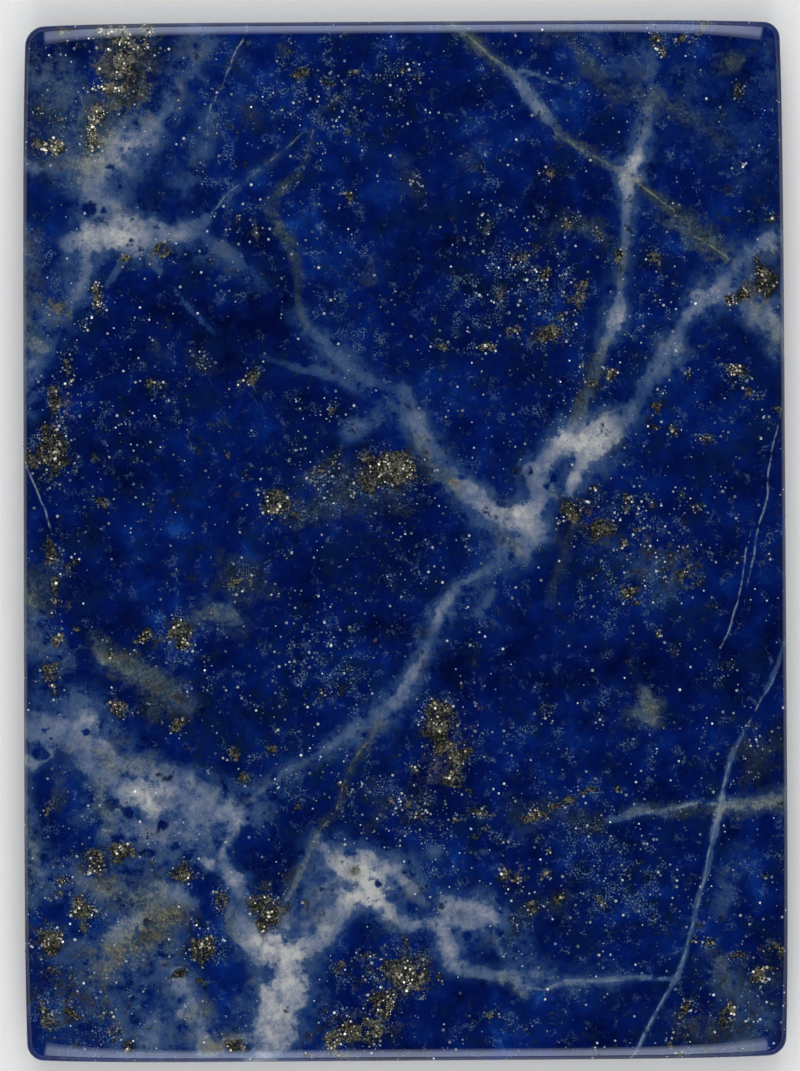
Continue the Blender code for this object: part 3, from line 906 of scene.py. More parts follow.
def mark_stone(mesh, points):
    """Writes where the markings lie onto the stone's points, for its finish to read."""
    plan = on_plan(points)
    on = {name: shaken(plan, points, *numbers) for name, numbers in SHAKES.items()}
    fields = {}
    fields["vein"], fields["white"] = vein_fields(on["veins"], VEINS)
    fields["sage"], fields["sage_tone"] = vein_fields(on["drifts"], SAGES)
    fields["cloud"] = cloud_field(on["soft"], CLOUDS)
    fields["pyrite"] = strongest_patch(on["pyrite"], PYRITE)
    fields["stain"] = strongest_patch(on["soft"], STAINS)
    fields["blue"] = all_patches(on["soft"], BLUES)
    fields["island"] = strongest_patch(on["islands"], ISLANDS, FIRM_PATCH)
    fields["gleam"] = all_patches(on["soft"], GLEAMS)
    fields["rim"] = (THICKNESS - points[:, 2]) / TOP_ROUND_MIDSIDE
    for group, lines in CRACKS.items():
        name = "crack_" + group
        fields[name], fields[name + "_shows"] = crack_fields(on["cracks"], lines)
    for name, values in fields.items():
        attribute = mesh.attributes.new(name, "FLOAT", "POINT")
        attribute.data.foreach_set("value", values.astype(np.float32))


# Node trees

class Tree:
    """A node tree to which nodes are added one call at a time."""

    def __init__(self, tree):
        self.tree = tree

    def new(self, kind, plugs=None, **settings):
        """A new node with its settings, and with values or other nodes' outputs in its inputs."""
        node = self.tree.nodes.new(kind)
        for name, value in settings.items():
            setattr(node, name, value)
        self.plug_all(node, plugs or {})
        return node

    def plug_all(self, node, plugs):
        """Plugs a node's inputs, each given by its name or its number."""
        for key, value in plugs.items():
            self.plug(node.inputs[key], value)

    def plug(self, socket, value):
        """Links another node's output to a socket, or sets the socket's own value."""
        if isinstance(value, bpy.types.NodeSocket):
            self.tree.links.new(value, socket)
        else:
            socket.default_value = value

    def enabled(self, sockets, *names):
        """The sockets in use, or those of them that have one of these names."""
        return [s for s in sockets if s.enabled and (not names or s.name in names)]

    def math(self, operation, *values, clamp=False):
        plugs = dict(enumerate(values))
        return self.new("ShaderNodeMath", plugs, operation=operation, use_clamp=clamp).outputs[0]

    def add(self, *values):
        total = values[0]
        for value in values[1:]:
            total = self.math("ADD", total, value)
        return total

    def times(self, *values):
        product = values[0]
        for value in values[1:]:
            product = self.math("MULTIPLY", product, value)
        return product

    def less(self, first, second):
        return self.math("SUBTRACT", first, second)

    def most(self, first, second):
        return self.math("MAXIMUM", first, second)

    def together(self, first, second):
        """Two covers from 0 to 1, one over the other."""
        return self.less(self.add(first, second), self.times(first, second))

    def ease(self, value, low, high, to_low=0.0, to_high=1.0):
        """value eased from to_low to to_high while it goes from low to high."""
        plugs = dict(enumerate((value, low, high, to_low, to_high)))
        return self.new("ShaderNodeMapRange", plugs, interpolation_type="SMOOTHSTEP").outputs[0]

    def in_mm(self, place):
        """A place given in metres, in millimetres."""
        plugs = {0: place, "Scale": 1 / MM}
        return self.new("ShaderNodeVectorMath", plugs, operation="SCALE").outputs[0]

    def noise(self, place, size, detail, roughness, distortion, shift):
        """Cloudy noise around 0, whose largest forms are about size millimetres across."""
        plugs = {
            "Vector": place, "Scale": 1 / size, "Detail": detail, "Roughness": roughness,
            "Distortion": distortion, "W": shift,
        }
        node = self.new("ShaderNodeTexNoise", plugs, noise_dimensions="4D", normalize=False)
        return node.outputs[0]


class Finish(Tree):
    """A material and its nodes."""

    def __init__(self, name):
        self.material = bpy.data.materials.new(name)
        self.material.use_nodes = True
        super().__init__(self.material.node_tree)

    def surface(self, plugs):
        """Puts values or other nodes' outputs into the inputs of the surface."""
        self.plug_all(self.tree.nodes["Principled BSDF"], plugs)

    def attribute(self, name):
        return self.new("ShaderNodeAttribute", attribute_name=name).outputs["Fac"]

    def place(self):
        """The place on the object in millimetres."""
        return self.in_mm(self.new("ShaderNodeTexCoord").outputs["Object"])

    def ramp(self, value, stops):
        """The colour at value on a ramp of colours."""
        node = self.new("ShaderNodeValToRGB", {"Fac": value})
        elements = node.color_ramp.elements
        while len(elements) < len(stops):
            elements.new(0.5)
        for element, (position, colour) in zip(elements, stops):
            element.position = position
            element.color = (*colour, 1.0)
        return node.outputs["Color"]

    def mix(self, share, below, above):
        """One colour with a share of another over it."""
        node = self.new("ShaderNodeMix", data_type="RGBA")
        factor, lower, upper = self.enabled(node.inputs)
        self.plug(factor, share)
        for socket, value in ((lower, below), (upper, above)):
            self.plug(socket, (*value, 1.0) if isinstance(value, tuple) else value)
        return self.enabled(node.outputs)[0]


# Finish of the stone

# Colours of the minerals, linear, each as a ramp from its least to its most
LAZURITE = (
    (0.00, (0.0003, 0.0020, 0.0230)), (0.18, (0.0003, 0.0031, 0.0380)),
    (0.42, (0.0004, 0.0045, 0.0570)), (0.66, (0.0006, 0.0080, 0.0820)),
    (0.84, (0.0013, 0.0150, 0.1120)), (1.00, (0.0030, 0.0310, 0.1700)))
CALCITE = (
    (0.00, (0.0020, 0.0130, 0.0760)), (0.10, (0.0056, 0.0205, 0.0890)),
    (0.18, (0.0120, 0.0315, 0.1000)), (0.27, (0.0225, 0.0465, 0.1150)),
    (0.37, (0.0400, 0.0665, 0.1350)), (0.48, (0.0655, 0.0930, 0.1620)),
    (0.62, (0.1100, 0.1330, 0.1900)), (0.82, (0.1930, 0.2100, 0.2450)),
    (1.00, (0.2980, 0.3110, 0.3200)))
WARM_CALCITE = (
    (0.00, (0.0060, 0.0125, 0.0440)), (0.18, (0.0220, 0.0310, 0.0540)),
    (0.37, (0.0590, 0.0690, 0.0960)), (0.62, (0.1300, 0.1410, 0.1600)),
    (0.82, (0.2150, 0.2260, 0.2330)), (1.00, (0.3200, 0.3250, 0.3120)))
SAGE = (
    (0.0, (0.0040, 0.0110, 0.0180)), (0.4, (0.0165, 0.0320, 0.0380)),
    (0.7, (0.0540, 0.0680, 0.0570)), (1.0, (0.1250, 0.1380, 0.1020)))
STAIN = (
    (0.0, (0.0040, 0.0043, 0.0034)), (0.3, (0.0118, 0.0115, 0.0080)),
    (0.6, (0.0380, 0.0362, 0.0262)), (1.0, (0.1200, 0.1130, 0.0860)))

# Single colours, linear
TEAL = (0.0016, 0.0075, 0.0300)
NIGHT = (0.0007, 0.0040, 0.0190)
CRACK_PALE = (0.115, 0.160, 0.225)
CRACK_OLIVE = (0.125, 0.135, 0.100)
DUST = (0.060, 0.112, 0.188)
# Painted light: the even blue of the rolled rim, which stands for how the lit, polished edge looks
# rather than for the stone's own colour
RIM_PAINTED_LIGHT_BLUE = (0.0050, 0.0200, 0.1180)
SHEEN_TINT = (0.68, 0.78, 1.0, 1.0)

STONE_ROUGHNESS = 0.075
STONE_IOR = 1.57

# The noises that every marking draws on: the size of their largest forms in millimetres, how many
# finer layers they have, how strong those are, how far they are warped, and which draw they are
NOISES = {
    "broad": (8.0, 3.0, 0.50, 0.0, 1.0),
    "patchy": (2.6, 3.0, 0.50, 0.3, 2.0),
    "mottle": (0.80, 4.0, 0.70, 0.0, 3.0),
    "grain": (0.24, 2.0, 0.70, 0.0, 4.0),
    "swell": (4.0, 3.0, 0.55, 0.0, 5.0),
    "edge": (1.7, 5.0, 0.52, 0.3, 6.0),
    "wisp": (3.0, 5.0, 0.54, 1.6, 7.0),
    "green": (3.4, 7.0, 0.60, 0.5, 8.0),
    "fine": (0.17, 1.0, 0.60, 0.0, 9.0),
    "clump": (1.4, 4.0, 0.70, 0.0, 10.0),
    "smoke": (1.5, 4.0, 0.55, 1.0, 11.0),
    "warmth": (3.0, 3.0, 0.50, 0.6, 12.0),
    "pocket": (0.75, 1.0, 0.40, 0.0, 13.0),
}

# How much of each noise goes into a marking's edges or tones
BLUE_MIX = {"broad": 0.36, "patchy": 0.38, "mottle": 0.13, "grain": 0.06}
TEAL_MIX = {"mottle": 0.3}
VEIN_MIX = {"swell": 0.34, "edge": 0.62, "wisp": 0.26, "mottle": 0.20, "grain": 0.12}
RICHNESS_MIX = {"smoke": 0.22, "wisp": 0.16, "mottle": 0.10, "grain": 0.08}
CLOUD_MIX = {"edge": 0.62, "wisp": 0.50, "mottle": 0.26, "grain": 0.24}
ISLAND_MIX = {"edge": 0.40, "mottle": 0.34}
SAGE_MIX = {"edge": 0.80, "mottle": 0.30, "grain": 0.15}
SAGE_TONE_MIX = {"mottle": 0.30, "grain": 0.35}
STAIN_MIX = {"edge": 0.34, "mottle": 0.24, "grain": 0.20}
STAIN_TONE_MIX = {"patchy": 0.3, "mottle": 0.4, "grain": 0.7}
BED_MIX = {"edge": 0.40, "mottle": 0.36, "grain": 0.22}
BED_TONE_MIX = {"mottle": 0.5, "grain": 0.8}
CRACK_MIX = {"edge": 0.08}
CRACK_CLEARNESS_MIX = {"mottle": 0.8}
CLUMP_MIX = {"broad": 0.6}
THREAD_MIX = {"mottle": 0.12}

# What a tone or a cover is before its noises are added, and how much another mark adds to it
BLUE_MIDDLE = 0.43
BLUE_DRAWN = 0.48
RICHNESS_MIDDLE = 0.96
CLOUD_MIDDLE = 0.62
SAGE_MIDDLE = 0.42
SAGE_FROM_WHITE = 0.65
STAIN_MIDDLE = 0.50
BED_MIDDLE = 0.34
BED_GLEAM = 0.30
CLUMP_FROM_PYRITE = 1.1

# How fully a marking covers what lies under it
SAGE_COVER = 0.85
CRACK_COVER = 0.85
DUST_COVER = 0.80
THREAD_COVER = 0.40
# How fully the painted light of the rolled rim, an even blue, covers the markings there
RIM_PAINTED_LIGHT_COVER = 0.70

# Eases: from and to, and what the value becomes at the two where that isn't 0 and 1
TEAL_EASE = (0.05, 0.65, 0.0, 0.55)
VEIN_BODY = (-0.40, 0.42)
VEIN_HEART = (0.0, 1.4, 0.78, 1.12)
VEIN_SKIRT = (-1.7, 0.0, 0.0, 0.20)
POCKET_EASE = (0.30, 0.50)
POCKET_IN_VEIN = (0.10, 0.8, 0.40, 0.0)
ISLAND_EASE = (0.22, 0.62, 1.0, 0.12)
WARM_BY_NOISE = (0.1, 0.7, 0.0, 0.5)
WARM_BY_WHITE = (0.70, 1.05, 0.0, 0.6)
BARE_EASE = (0.16, 0.50, 1.0, 0.0)
CALCITE_OVER = (0.0, 0.16)
SAGE_EASE = (-0.9, 1.0)
STAIN_EASE = (0.24, 0.72, 0.0, 0.85)
THICK_PYRITE = (0.34, 0.60)
BED_DARK = (0.16, 0.60, 0.0, 0.80)
BED_OVER = (0.40, 0.64, 0.0, 0.95)
CRACK_LINE = (0.01, 0.15, 1.0, 0.0)
CRACK_CLEARNESS = (0.1, 1.0)
CLUMP_EASE = (0.22, 1.0)
FINE_EASE = (0.10, 0.40)
THREAD_LINE = (0.0, 0.05, 1.0, 0.0)
THREAD_CLUMP = (-0.1, 0.6)
DUST_OUTSIDE_BEDS = (0.40, 0.60, 1.0, 0.30)

# The rolled rim, by how far down it a place is: 0 on the face and 1 at the top of the wall
# Where down the rim the painted light, an even blue over the markings, sets in
RIM_TURNS_PAINTED_BLUE = (0.45, 0.95)
RIM_TURNS_DULL = (0.36, 0.72)
WALL_TURNS_BACK = (1.0, 2.4)
SHINE = 0.5
RIM_SHINE = 0.02


class StoneFinish(Finish):
    """Deep blue lazurite with clouds and veins of calcite, sage drifts, stains and pale dust."""

    def __init__(self):
        super().__init__("lapis lazuli")
        place = self.place()
        self.noises = {name: self.noise(place, *numbers) for name, numbers in NOISES.items()}
        colour = self.with_calcite(self.lazurite())
        colour = self.with_drifts(colour)
        colour = self.with_cracks(colour)
        colour = self.with_dust(colour)
        self.with_rim(colour)

    def noised(self, start, mix):
        """start plus the noises of a mix, each times its share."""
        return self.add(start, *(self.times(self.noises[name], share) for name, share in mix.items()))

    def lazurite(self):
        """The blue ground with its lighter, darker and teal drifts."""
        tone = self.noised(BLUE_MIDDLE, BLUE_MIX)
        tone = self.add(tone, self.times(self.attribute("blue"), BLUE_DRAWN))
        teal = self.ease(self.noised(self.noises["green"], TEAL_MIX), *TEAL_EASE)
        return self.mix(teal, self.ramp(tone, LAZURITE), TEAL)

    def with_calcite(self, colour):
        """Veins and clouds of calcite with islands of blue in them."""
        vein = self.noised(self.attribute("vein"), VEIN_MIX)
        body = self.times(self.ease(vein, *VEIN_BODY), self.ease(vein, *VEIN_HEART))
        pocket = self.ease(self.noises["pocket"], *POCKET_EASE)
        pocket = self.times(pocket, self.ease(vein, *POCKET_IN_VEIN))
        body = self.times(body, self.less(1.0, pocket))
        skirt = self.ease(vein, *VEIN_SKIRT)
        rich = self.noised(RICHNESS_MIDDLE, RICHNESS_MIX)
        vein_cover = self.times(self.most(body, skirt), self.attribute("white"), rich)

        cloudy = self.most(self.noised(CLOUD_MIDDLE, CLOUD_MIX), 0.0)
        amount = self.together(vein_cover, self.times(cloudy, self.attribute("cloud")))
        island = self.noised(self.attribute("island"), ISLAND_MIX)
        amount = self.times(amount, self.ease(island, *ISLAND_EASE))
        self.amount = amount
        self.bare = self.ease(amount, *BARE_EASE)

        warm = self.most(self.ease(self.noises["warmth"], *WARM_BY_NOISE),
                         self.ease(amount, *WARM_BY_WHITE))
        calcite = self.mix(warm, self.ramp(amount, CALCITE), self.ramp(amount, WARM_CALCITE))
        return self.mix(self.ease(amount, *CALCITE_OVER), colour, calcite)

    def with_drifts(self, colour):
        """Sage drifts, brown stains and the dark beds in which the pyrite sits."""
        sage = self.ease(self.noised(self.attribute("sage"), SAGE_MIX), *SAGE_EASE)
        sage = self.times(sage, self.attribute("sage_tone"), SAGE_COVER)
        tone = self.add(SAGE_MIDDLE, self.times(self.amount, SAGE_FROM_WHITE))
        colour = self.mix(sage, colour, self.ramp(self.noised(tone, SAGE_TONE_MIX), SAGE))

        stain = self.ease(self.noised(self.attribute("stain"), STAIN_MIX), *STAIN_EASE)
        colour = self.mix(stain, colour, self.ramp(self.noised(STAIN_MIDDLE, STAIN_TONE_MIX), STAIN))

        bed = self.noised(self.attribute("pyrite"), BED_MIX)
        thick = self.ease(self.attribute("pyrite"), *THICK_PYRITE)
        dark = self.times(self.ease(bed, *BED_DARK), self.most(self.bare, thick))
        colour = self.mix(dark, colour, NIGHT)
        gleam = self.times(self.attribute("gleam"), BED_GLEAM)
        tint = self.ramp(self.add(gleam, self.noised(BED_MIDDLE, BED_TONE_MIX)), STAIN)
        return self.mix(self.times(self.ease(bed, *BED_OVER), thick), colour, tint)

    def with_cracks(self, colour):
        """Hairline cracks, whose pale filling comes and goes along them."""
        for group in CRACKS:
            distance = self.noised(self.attribute("crack_" + group), CRACK_MIX)
            line = self.ease(self.math("ABSOLUTE", distance), *CRACK_LINE)
            shows = self.noised(self.attribute("crack_" + group + "_shows"), CRACK_CLEARNESS_MIX)
            shows = self.ease(shows, *CRACK_CLEARNESS)
            tint = CRACK_OLIVE if group == "olive" else CRACK_PALE
            colour = self.mix(self.times(line, shows, CRACK_COVER), colour, tint)
        return colour

    def with_dust(self, colour):
        """Pale dust that lies in clumps, and the thin crooked threads among it."""
        pyrite = self.attribute("pyrite")
        clump = self.add(self.times(pyrite, CLUMP_FROM_PYRITE),
                         self.noised(self.noises["clump"], CLUMP_MIX))
        dust = self.ease(self.noises["fine"], *FINE_EASE)
        dust = self.times(dust, self.ease(clump, *CLUMP_EASE), DUST_COVER)
        near = self.math("ABSOLUTE", self.noised(self.noises["green"], THREAD_MIX))
        thread = self.ease(near, *THREAD_LINE)
        thread = self.times(thread, self.ease(self.noises["clump"], *THREAD_CLUMP), THREAD_COVER)
        cover = self.times(self.most(dust, thread), self.bare, self.ease(pyrite, *DUST_OUTSIDE_BEDS))
        return self.mix(cover, colour, DUST)

    def with_rim(self, colour):
        """The whole surface, with painted light on the rolled rim: an even blue over the markings
        there, which stands for how the lit, polished edge looks, and less shine than on the face.
        """
        rim = self.attribute("rim")
        wall = self.ease(rim, *WALL_TURNS_BACK)
        # Painted light: down the rolled rim the markings give way to an even blue, which fades again
        # down the wall
        rolled = self.ease(wall, 0.0, 1.0, RIM_PAINTED_LIGHT_COVER, 0.0)
        dull = self.ease(wall, 0.0, 1.0, RIM_SHINE, SHINE)
        self.surface({
            "Base Color": self.mix(self.ease(rim, *RIM_TURNS_PAINTED_BLUE, 0.0, rolled), colour, RIM_PAINTED_LIGHT_BLUE),
            "Roughness": STONE_ROUGHNESS,
            "IOR": STONE_IOR,
            "Specular Tint": SHEEN_TINT,
            "Specular IOR Level": self.ease(rim, *RIM_TURNS_DULL, SHINE, dull),
        })


# Pyrite grains

# Colours of the grains, linear, from the dullest to the brightest
FIELD_GRAINS = (
    (0.00, (0.045, 0.070, 0.115)), (0.40, (0.110, 0.140, 0.200)),
    (0.75, (0.220, 0.255, 0.310)), (1.00, (0.520, 0.550, 0.570)))
BED_GRAINS = (
    (0.00, (0.034, 0.031, 0.022)), (0.38, (0.125, 0.115, 0.084)),
    (0.72, (0.400, 0.370, 0.285)), (1.00, (0.880, 0.840, 0.705)))
GRAIN_METALLIC = 0.45
GRAIN_ROUGHNESS = 0.40

# From where to where in the spread of the pyrite its grains turn from pale to warm
WARM_FROM, WARM_TO = 0.30, 0.75

# How large a grain is, in metres, how far it leans, how many there are on a square metre of plain
# stone and of a bed, and the seed of it all
SMALLEST_RADIUS = 0.060 * MM
LARGEST_RADIUS = 0.210 * MM
MOST_TILT = math.radians(24)
GRAINS_ANYWHERE = 0.24 / MM ** 2
GRAINS_IN_A_BED = 18.0 / MM ** 2
SEED = 7

# The power that makes large grains rare, and how they shrink down the rolled rim
RARITY = 2.1
RIM_SHRINK = (0.2, 0.9, 1.0, 0.6)

# The crystals, each with a radius of 1: corners and the radius of the flat top
CRYSTALS = ((4, 0.80), (5, 0.70), (4, 0.62))
CRYSTAL_HEIGHT = 0.7
CRYSTAL_SUNK = 0.45

# How the grains gather: the noises, given as the stone's are, and how they thin and thicken them
GATHER_NOISE = (1.1, 3.0, 0.6, 0.0, 11.0)
GATHER_EASE = (-0.05, 0.50)
GATHER_POWER = 1.45
GATHER_LEAST = 0.06
GATHER_MORE = 1.75
STRAY_NOISE = (7.0, 3.0, 0.6, 0.0, 12.0)
STRAY_EASE = (-0.35, 0.45, 0.25, 2.2)

# How much the drawn gleam lifts a grain's brightness
GRAIN_GLEAM = 0.25

# The grains' map: how many cells it has each way, how much of a cell a face reaches over, and what
# keeps the brightest and warmest inside the last cell
MAP_CELLS = 24
CELL_FILL = 0.40
BELOW_LAST_CELL = 1e-3


class GrainFinish(Finish):
    """Dull to bright pyrite, warmer where the grains lie thickly together."""

    def __init__(self):
        super().__init__("pyrite")
        tone = self.attribute("tone")
        warm = self.ease(self.attribute("pyrite"), WARM_FROM, WARM_TO)
        colour = self.mix(warm, self.ramp(tone, FIELD_GRAINS), self.ramp(tone, BED_GRAINS))
        self.surface({
            "Base Color": colour,
            "Metallic": GRAIN_METALLIC,
            "Roughness": GRAIN_ROUGHNESS,
        })


class GrainTree(Tree):
    """Geometry nodes that strew small flat-topped crystals where the stone holds pyrite."""

    INPUTS = {
        "Smallest radius": ("NodeSocketFloat", SMALLEST_RADIUS),
        "Largest radius": ("NodeSocketFloat", LARGEST_RADIUS),
        "Most tilt": ("NodeSocketFloat", MOST_TILT),
        "Grains anywhere": ("NodeSocketFloat", GRAINS_ANYWHERE),
        "Grains in a bed": ("NodeSocketFloat", GRAINS_IN_A_BED),
        "Seed": ("NodeSocketInt", SEED),
        "Finish": ("NodeSocketMaterial", None),
    }

    def __init__(self):
        super().__init__(bpy.data.node_groups.new("pyrite grains", "GeometryNodeTree"))
        interface = self.tree.interface
        interface.new_socket("Geometry", in_out="INPUT", socket_type="NodeSocketGeometry")
        interface.new_socket("Geometry", in_out="OUTPUT", socket_type="NodeSocketGeometry")
        self.identifiers = {}
        for name, (kind, _) in self.INPUTS.items():
            socket = interface.new_socket(name, in_out="INPUT", socket_type=kind)
            self.identifiers[name] = socket.identifier
        self.given = self.new("NodeGroupInput").outputs
        self.build()

    def random(self, kind, low, high, shift):
        """A random value for each grain, with a shift of the seed that no other use has."""
        node = self.new("FunctionNodeRandomValue", data_type=kind)
        least, most = self.enabled(node.inputs, "Min", "Max")
        self.plug(least, low)
        self.plug(most, high)
        self.plug(node.inputs["Seed"], self.add(self.given["Seed"], shift))
        return self.enabled(node.outputs)[0]

    def named(self, name):
        """A mark on the stone's points."""
        node = self.new("GeometryNodeInputNamedAttribute", {"Name": name}, data_type="FLOAT")
        return node.outputs["Attribute"]

    def crystal(self, corners, top_radius):
        """A flat-topped crystal of radius 1, most of it below the surface."""
        cone = self.new("GeometryNodeMeshCone", {
            "Vertices": corners,
            "Side Segments": 1,
            "Radius Top": top_radius,
            "Radius Bottom": 1.0,
            "Depth": CRYSTAL_HEIGHT,
        }, fill_type="NGON")
        sunk = self.new("GeometryNodeTransform", {
            "Geometry": cone.outputs["Mesh"],
            "Translation": (0.0, 0.0, -CRYSTAL_SUNK),
        })
        return sunk.outputs[0]

    def density(self):
        """How many grains stand on a square metre, from place to place."""
        place = self.in_mm(self.new("GeometryNodeInputPosition").outputs[0])
        gather = self.ease(self.noise(place, *GATHER_NOISE), *GATHER_EASE)
        stray = self.ease(self.noise(place, *STRAY_NOISE), *STRAY_EASE)
        bed = self.times(self.math("POWER", self.named("pyrite"), GATHER_POWER),
                         self.add(GATHER_LEAST, self.times(gather, GATHER_MORE)))
        return self.add(self.times(bed, self.given["Grains in a bed"]),
                        self.times(stray, self.given["Grains anywhere"]))

    def radius(self):
        """A grain's radius by chance, less down the rolled rim."""
        chance = self.math("POWER", self.random("FLOAT", 0.0, 1.0, 1), RARITY)
        spread = self.less(self.given["Largest radius"], self.given["Smallest radius"])
        radius = self.add(self.given["Smallest radius"], self.times(chance, spread))
        return self.times(radius, self.ease(self.named("rim"), *RIM_SHRINK))

    def lean(self, upright):
        """upright tilted a little, and turned any way round."""
        tilt = self.given["Most tilt"]
        minus = self.times(tilt, -1.0)
        angles = self.new("ShaderNodeCombineXYZ", {
            "X": self.random("FLOAT", minus, tilt, 2),
            "Y": self.random("FLOAT", minus, tilt, 3),
            "Z": self.random("FLOAT", 0.0, 2 * math.pi, 4),
        })
        turn = self.new("FunctionNodeEulerToRotation", {0: angles.outputs[0]})
        rotate = self.new("FunctionNodeRotateRotation", {
            "Rotation": upright,
            "Rotate By": turn.outputs[0],
        }, rotation_space="LOCAL")
        return rotate.outputs[0]

    def build(self):
        """Strews points, plants a crystal on each and gives it its tone and its finish."""
        strew = self.new("GeometryNodeDistributePointsOnFaces", {
            "Mesh": self.given["Geometry"],
            "Density": self.density(),
            "Seed": self.given["Seed"],
        }, distribute_method="RANDOM")
        shapes = self.new("GeometryNodeGeometryToInstance")
        for corners, top_radius in CRYSTALS:
            self.plug(shapes.inputs[0], self.crystal(corners, top_radius))
        plant = self.new("GeometryNodeInstanceOnPoints", {
            "Points": strew.outputs["Points"],
            "Instance": shapes.outputs[0],
            "Pick Instance": True,
            "Instance Index": self.random("INT", 0, len(CRYSTALS) - 1, 5),
            "Rotation": self.lean(strew.outputs["Rotation"]),
            "Scale": self.radius(),
        })

        gleam = self.times(self.named("gleam"), GRAIN_GLEAM)
        tone = self.math("ADD", self.random("FLOAT", 0.0, 1.0, 6), gleam, clamp=True)
        toned = self.new("GeometryNodeStoreNamedAttribute", {
            "Geometry": plant.outputs[0],
            "Name": "tone",
        }, data_type="FLOAT", domain="INSTANCE")
        self.plug(self.enabled(toned.inputs, "Value")[0], tone)
        real = self.new("GeometryNodeRealizeInstances", {0: toned.outputs[0]})
        finished = self.new("GeometryNodeSetMaterial", {
            "Geometry": real.outputs[0],
            "Material": self.given["Finish"],
        })
        self.new("NodeGroupOutput", {"Geometry": finished.outputs[0]})


def add_colour_map(mesh):
    """Gives each face a place in a square map, by how bright and how warm its grain is."""
    count = len(mesh.vertices)
    bright, warm = np.zeros(count, np.float32), np.zeros(count, np.float32)
    mesh.attributes["tone"].data.foreach_get("value", bright)
    mesh.attributes["pyrite"].data.foreach_get("value", warm)
    warm = np.clip((warm - WARM_FROM) / (WARM_TO - WARM_FROM), 0, 1)
    corners = np.zeros(len(mesh.loops), np.int32)
    mesh.loops.foreach_get("vertex_index", corners)
    starts, totals = (np.zeros(len(mesh.polygons), np.int32) for _ in range(2))
    mesh.polygons.foreach_get("loop_start", starts)
    mesh.polygons.foreach_get("loop_total", totals)
    first, sides = np.repeat(starts, totals), np.repeat(totals, totals)
    turn = 2 * math.pi * (np.arange(len(corners)) - first) / sides
    cell = np.floor(np.column_stack((bright, warm))[corners] * (MAP_CELLS - BELOW_LAST_CELL))
    places = (cell + 0.5 + CELL_FILL * np.column_stack((np.cos(turn), np.sin(turn)))) / MAP_CELLS
    mesh.uv_layers.new(name="OFBake").data.foreach_set("uv", places.astype(np.float32).ravel())


def pyrite_grains(stone):
    """The crystals that show on the stone's faces, as one mesh."""
    host = add_to_scene("bed of the grains", stone.data)
    tree = GrainTree()
    strew = host.modifiers.new("strew", "NODES")
    strew.node_group = tree.tree
    for name, (_, value) in tree.INPUTS.items():
        if value is not None:
            strew[tree.identifiers[name]] = value
    strew[tree.identifiers["Finish"]] = GrainFinish().material
    evaluated = host.evaluated_get(bpy.context.evaluated_depsgraph_get())
    mesh = bpy.data.meshes.new_from_object(evaluated)
    mesh.name = "pyrite_grains"
    host.modifiers.remove(strew)
    bpy.data.objects.remove(host)
    add_colour_map(mesh)
    return add_to_scene("pyrite_grains", mesh)


# Stage, light and camera

# The pale floor, in metres
FLOOR_GREY = (0.60, 0.605, 0.61, 1.0)
FLOOR_RADIUS = 1.6
FLOOR_CORNERS = 96
FLOOR_ROUGHNESS = 0.9

# The two softboxes, in metres: where they stand, how large they are, over which share of that
# their glow fades, and how bright they are
BOX_DISTANCE = 0.80
BOX_TILT = math.radians(49)
BOX_WIDTH = 0.58
BOX_HEIGHT = 1.12
BOX_END_FADE = 0.36
BOX_TOP_FADE = 0.50
BOX_TOP_GLOW = 0.20
FAR_RADIANCE = 5.0
NEAR_RADIANCE = 4.5

# The light from above, in metres
FILL_HEIGHT = 1.5
FILL_WIDTH = 1.2
FILL_RADIANCE = 3.8

# The room's dim glow, by how far up one looks
ROOM_GLOW = (0.75, 0.97, 0.05, 0.0)

# The camera's lens and sensor, and what it frames: a picture that many pixels wide and high, and
# that many millimetres high at the height where the slab is widest
CAMERA_LENS = 200.0
CAMERA_SENSOR = 36.0
FRAME_PIXELS = (800, 1071)
FRAME_HEIGHT = 107.1
RIM_HEIGHT = 8.2


def make_floor():
    """A wide sheet of pale paper under the slab."""
    bpy.ops.mesh.primitive_circle_add(vertices=FLOOR_CORNERS, radius=FLOOR_RADIUS, fill_type="NGON")
    floor = bpy.context.object
    floor.name = "floor"
    paper = Finish("pale paper")
    paper.surface({"Base Color": FLOOR_GREY, "Roughness": FLOOR_ROUGHNESS})
    floor.data.materials.append(paper.material)


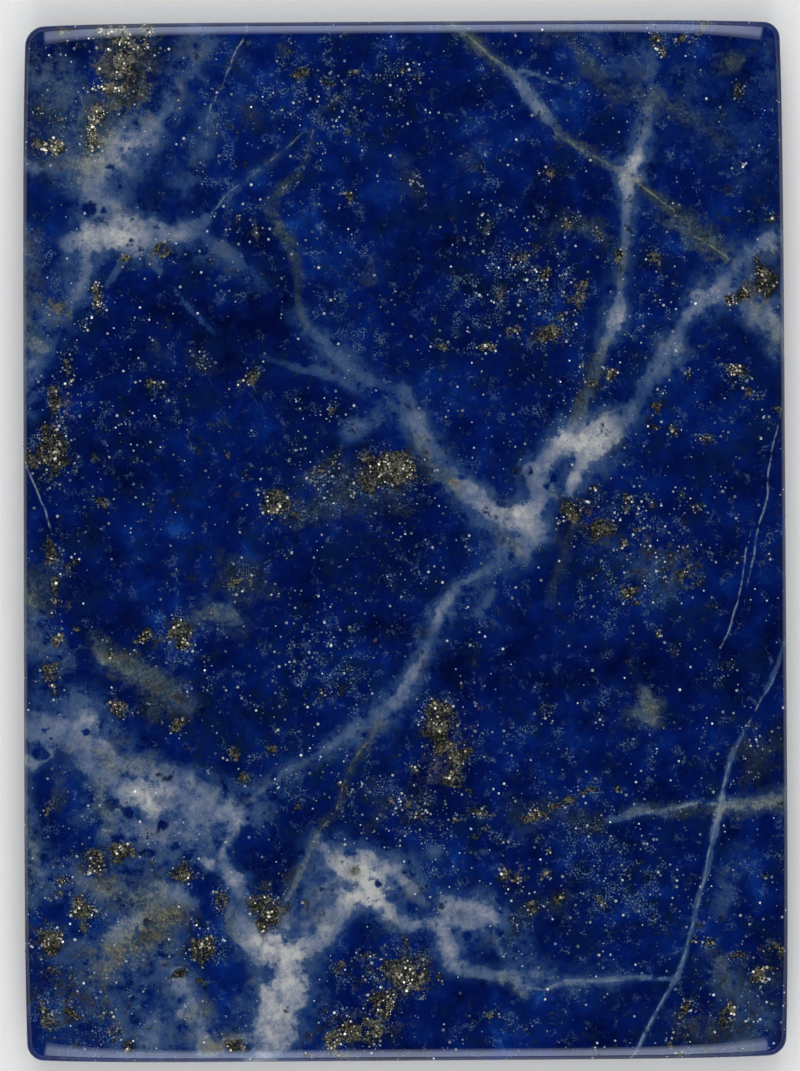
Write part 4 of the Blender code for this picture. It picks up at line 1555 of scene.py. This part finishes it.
def make_softbox(name, side, radiance):
    """A soft light on the far side (side 1) or the near side (side -1), turned to the slab.

    It fades towards its two ends and, more slowly, towards its upper edge.
    """
    light = bpy.data.lights.new(name, "AREA")
    light.shape = "RECTANGLE"
    light.size = BOX_WIDTH
    light.size_y = BOX_HEIGHT
    light.energy = radiance * math.pi * BOX_WIDTH * BOX_HEIGHT
    light.use_nodes = True
    t = Tree(light.node_tree)
    spot = t.new("ShaderNodeSeparateXYZ", {0: t.new("ShaderNodeNewGeometry").outputs["Parametric"]})
    along, up = spot.outputs["X"], spot.outputs["Y"]
    if side < 0:
        up = t.less(1.0, up)
    ends = t.times(t.ease(along, 0.0, BOX_END_FADE), t.ease(along, 1.0 - BOX_END_FADE, 1.0, 1.0, 0.0))
    glow = t.times(ends, t.ease(up, 0.0, BOX_TOP_FADE, BOX_TOP_GLOW, 1.0))
    t.plug(light.node_tree.nodes["Emission"].inputs["Strength"], glow)
    lamp = add_to_scene(name, light)
    lamp.location = (0.0, side * BOX_DISTANCE * math.sin(BOX_TILT), BOX_DISTANCE * math.cos(BOX_TILT))
    lamp.rotation_euler = (-side * BOX_TILT, 0.0, 0.0)


def make_fill():
    """A weak light from above that opens the shadows and isn't mirrored by the polish."""
    light = bpy.data.lights.new("fill", "AREA")
    light.size = FILL_WIDTH
    light.energy = FILL_RADIANCE * math.pi * FILL_WIDTH ** 2
    lamp = add_to_scene("fill", light)
    lamp.location = (0.0, 0.0, FILL_HEIGHT)
    lamp.visible_glossy = False


def make_world():
    """A dim room that is darkest straight overhead."""
    world = bpy.data.worlds.new("dim room")
    world.use_nodes = True
    t = Tree(world.node_tree)
    direction = t.new("ShaderNodeSeparateXYZ", {0: t.new("ShaderNodeTexCoord").outputs["Generated"]})
    glow = t.ease(direction.outputs["Z"], *ROOM_GLOW)
    t.plug(world.node_tree.nodes["Background"].inputs["Color"], glow)
    bpy.context.scene.world = world


def make_camera():
    """The camera high above the slab, which it looks straight down at."""
    lens = bpy.data.cameras.new("camera")
    lens.lens = CAMERA_LENS
    lens.sensor_fit = "VERTICAL"
    lens.sensor_width = CAMERA_SENSOR
    lens.sensor_height = CAMERA_SENSOR
    camera = add_to_scene("camera", lens)
    distance = FRAME_HEIGHT * CAMERA_LENS / CAMERA_SENSOR
    middle_x = (FRAME_PIXELS[0] / 2 - PLAN_MIDDLE[0]) * PLAN_UNIT
    middle_y = (PLAN_MIDDLE[1] - FRAME_PIXELS[1] / 2) * PLAN_UNIT
    camera.location = (middle_x * MM, middle_y * MM, (RIM_HEIGHT + distance) * MM)
    bpy.context.scene.camera = camera


def main():
    stone, points = slab_object()
    mark_stone(stone.data, points)
    stone.data.materials.append(StoneFinish().material)
    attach(stone, "root")
    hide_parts("lapis_slab")
    grains = pyrite_grains(stone)
    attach(grains, "root")
    make_floor()
    make_softbox("far softbox", 1, FAR_RADIANCE)
    make_softbox("near softbox", -1, NEAR_RADIANCE)
    make_fill()
    make_world()
    make_camera()
    bpy.context.scene.view_settings.view_transform = "Standard"


main()
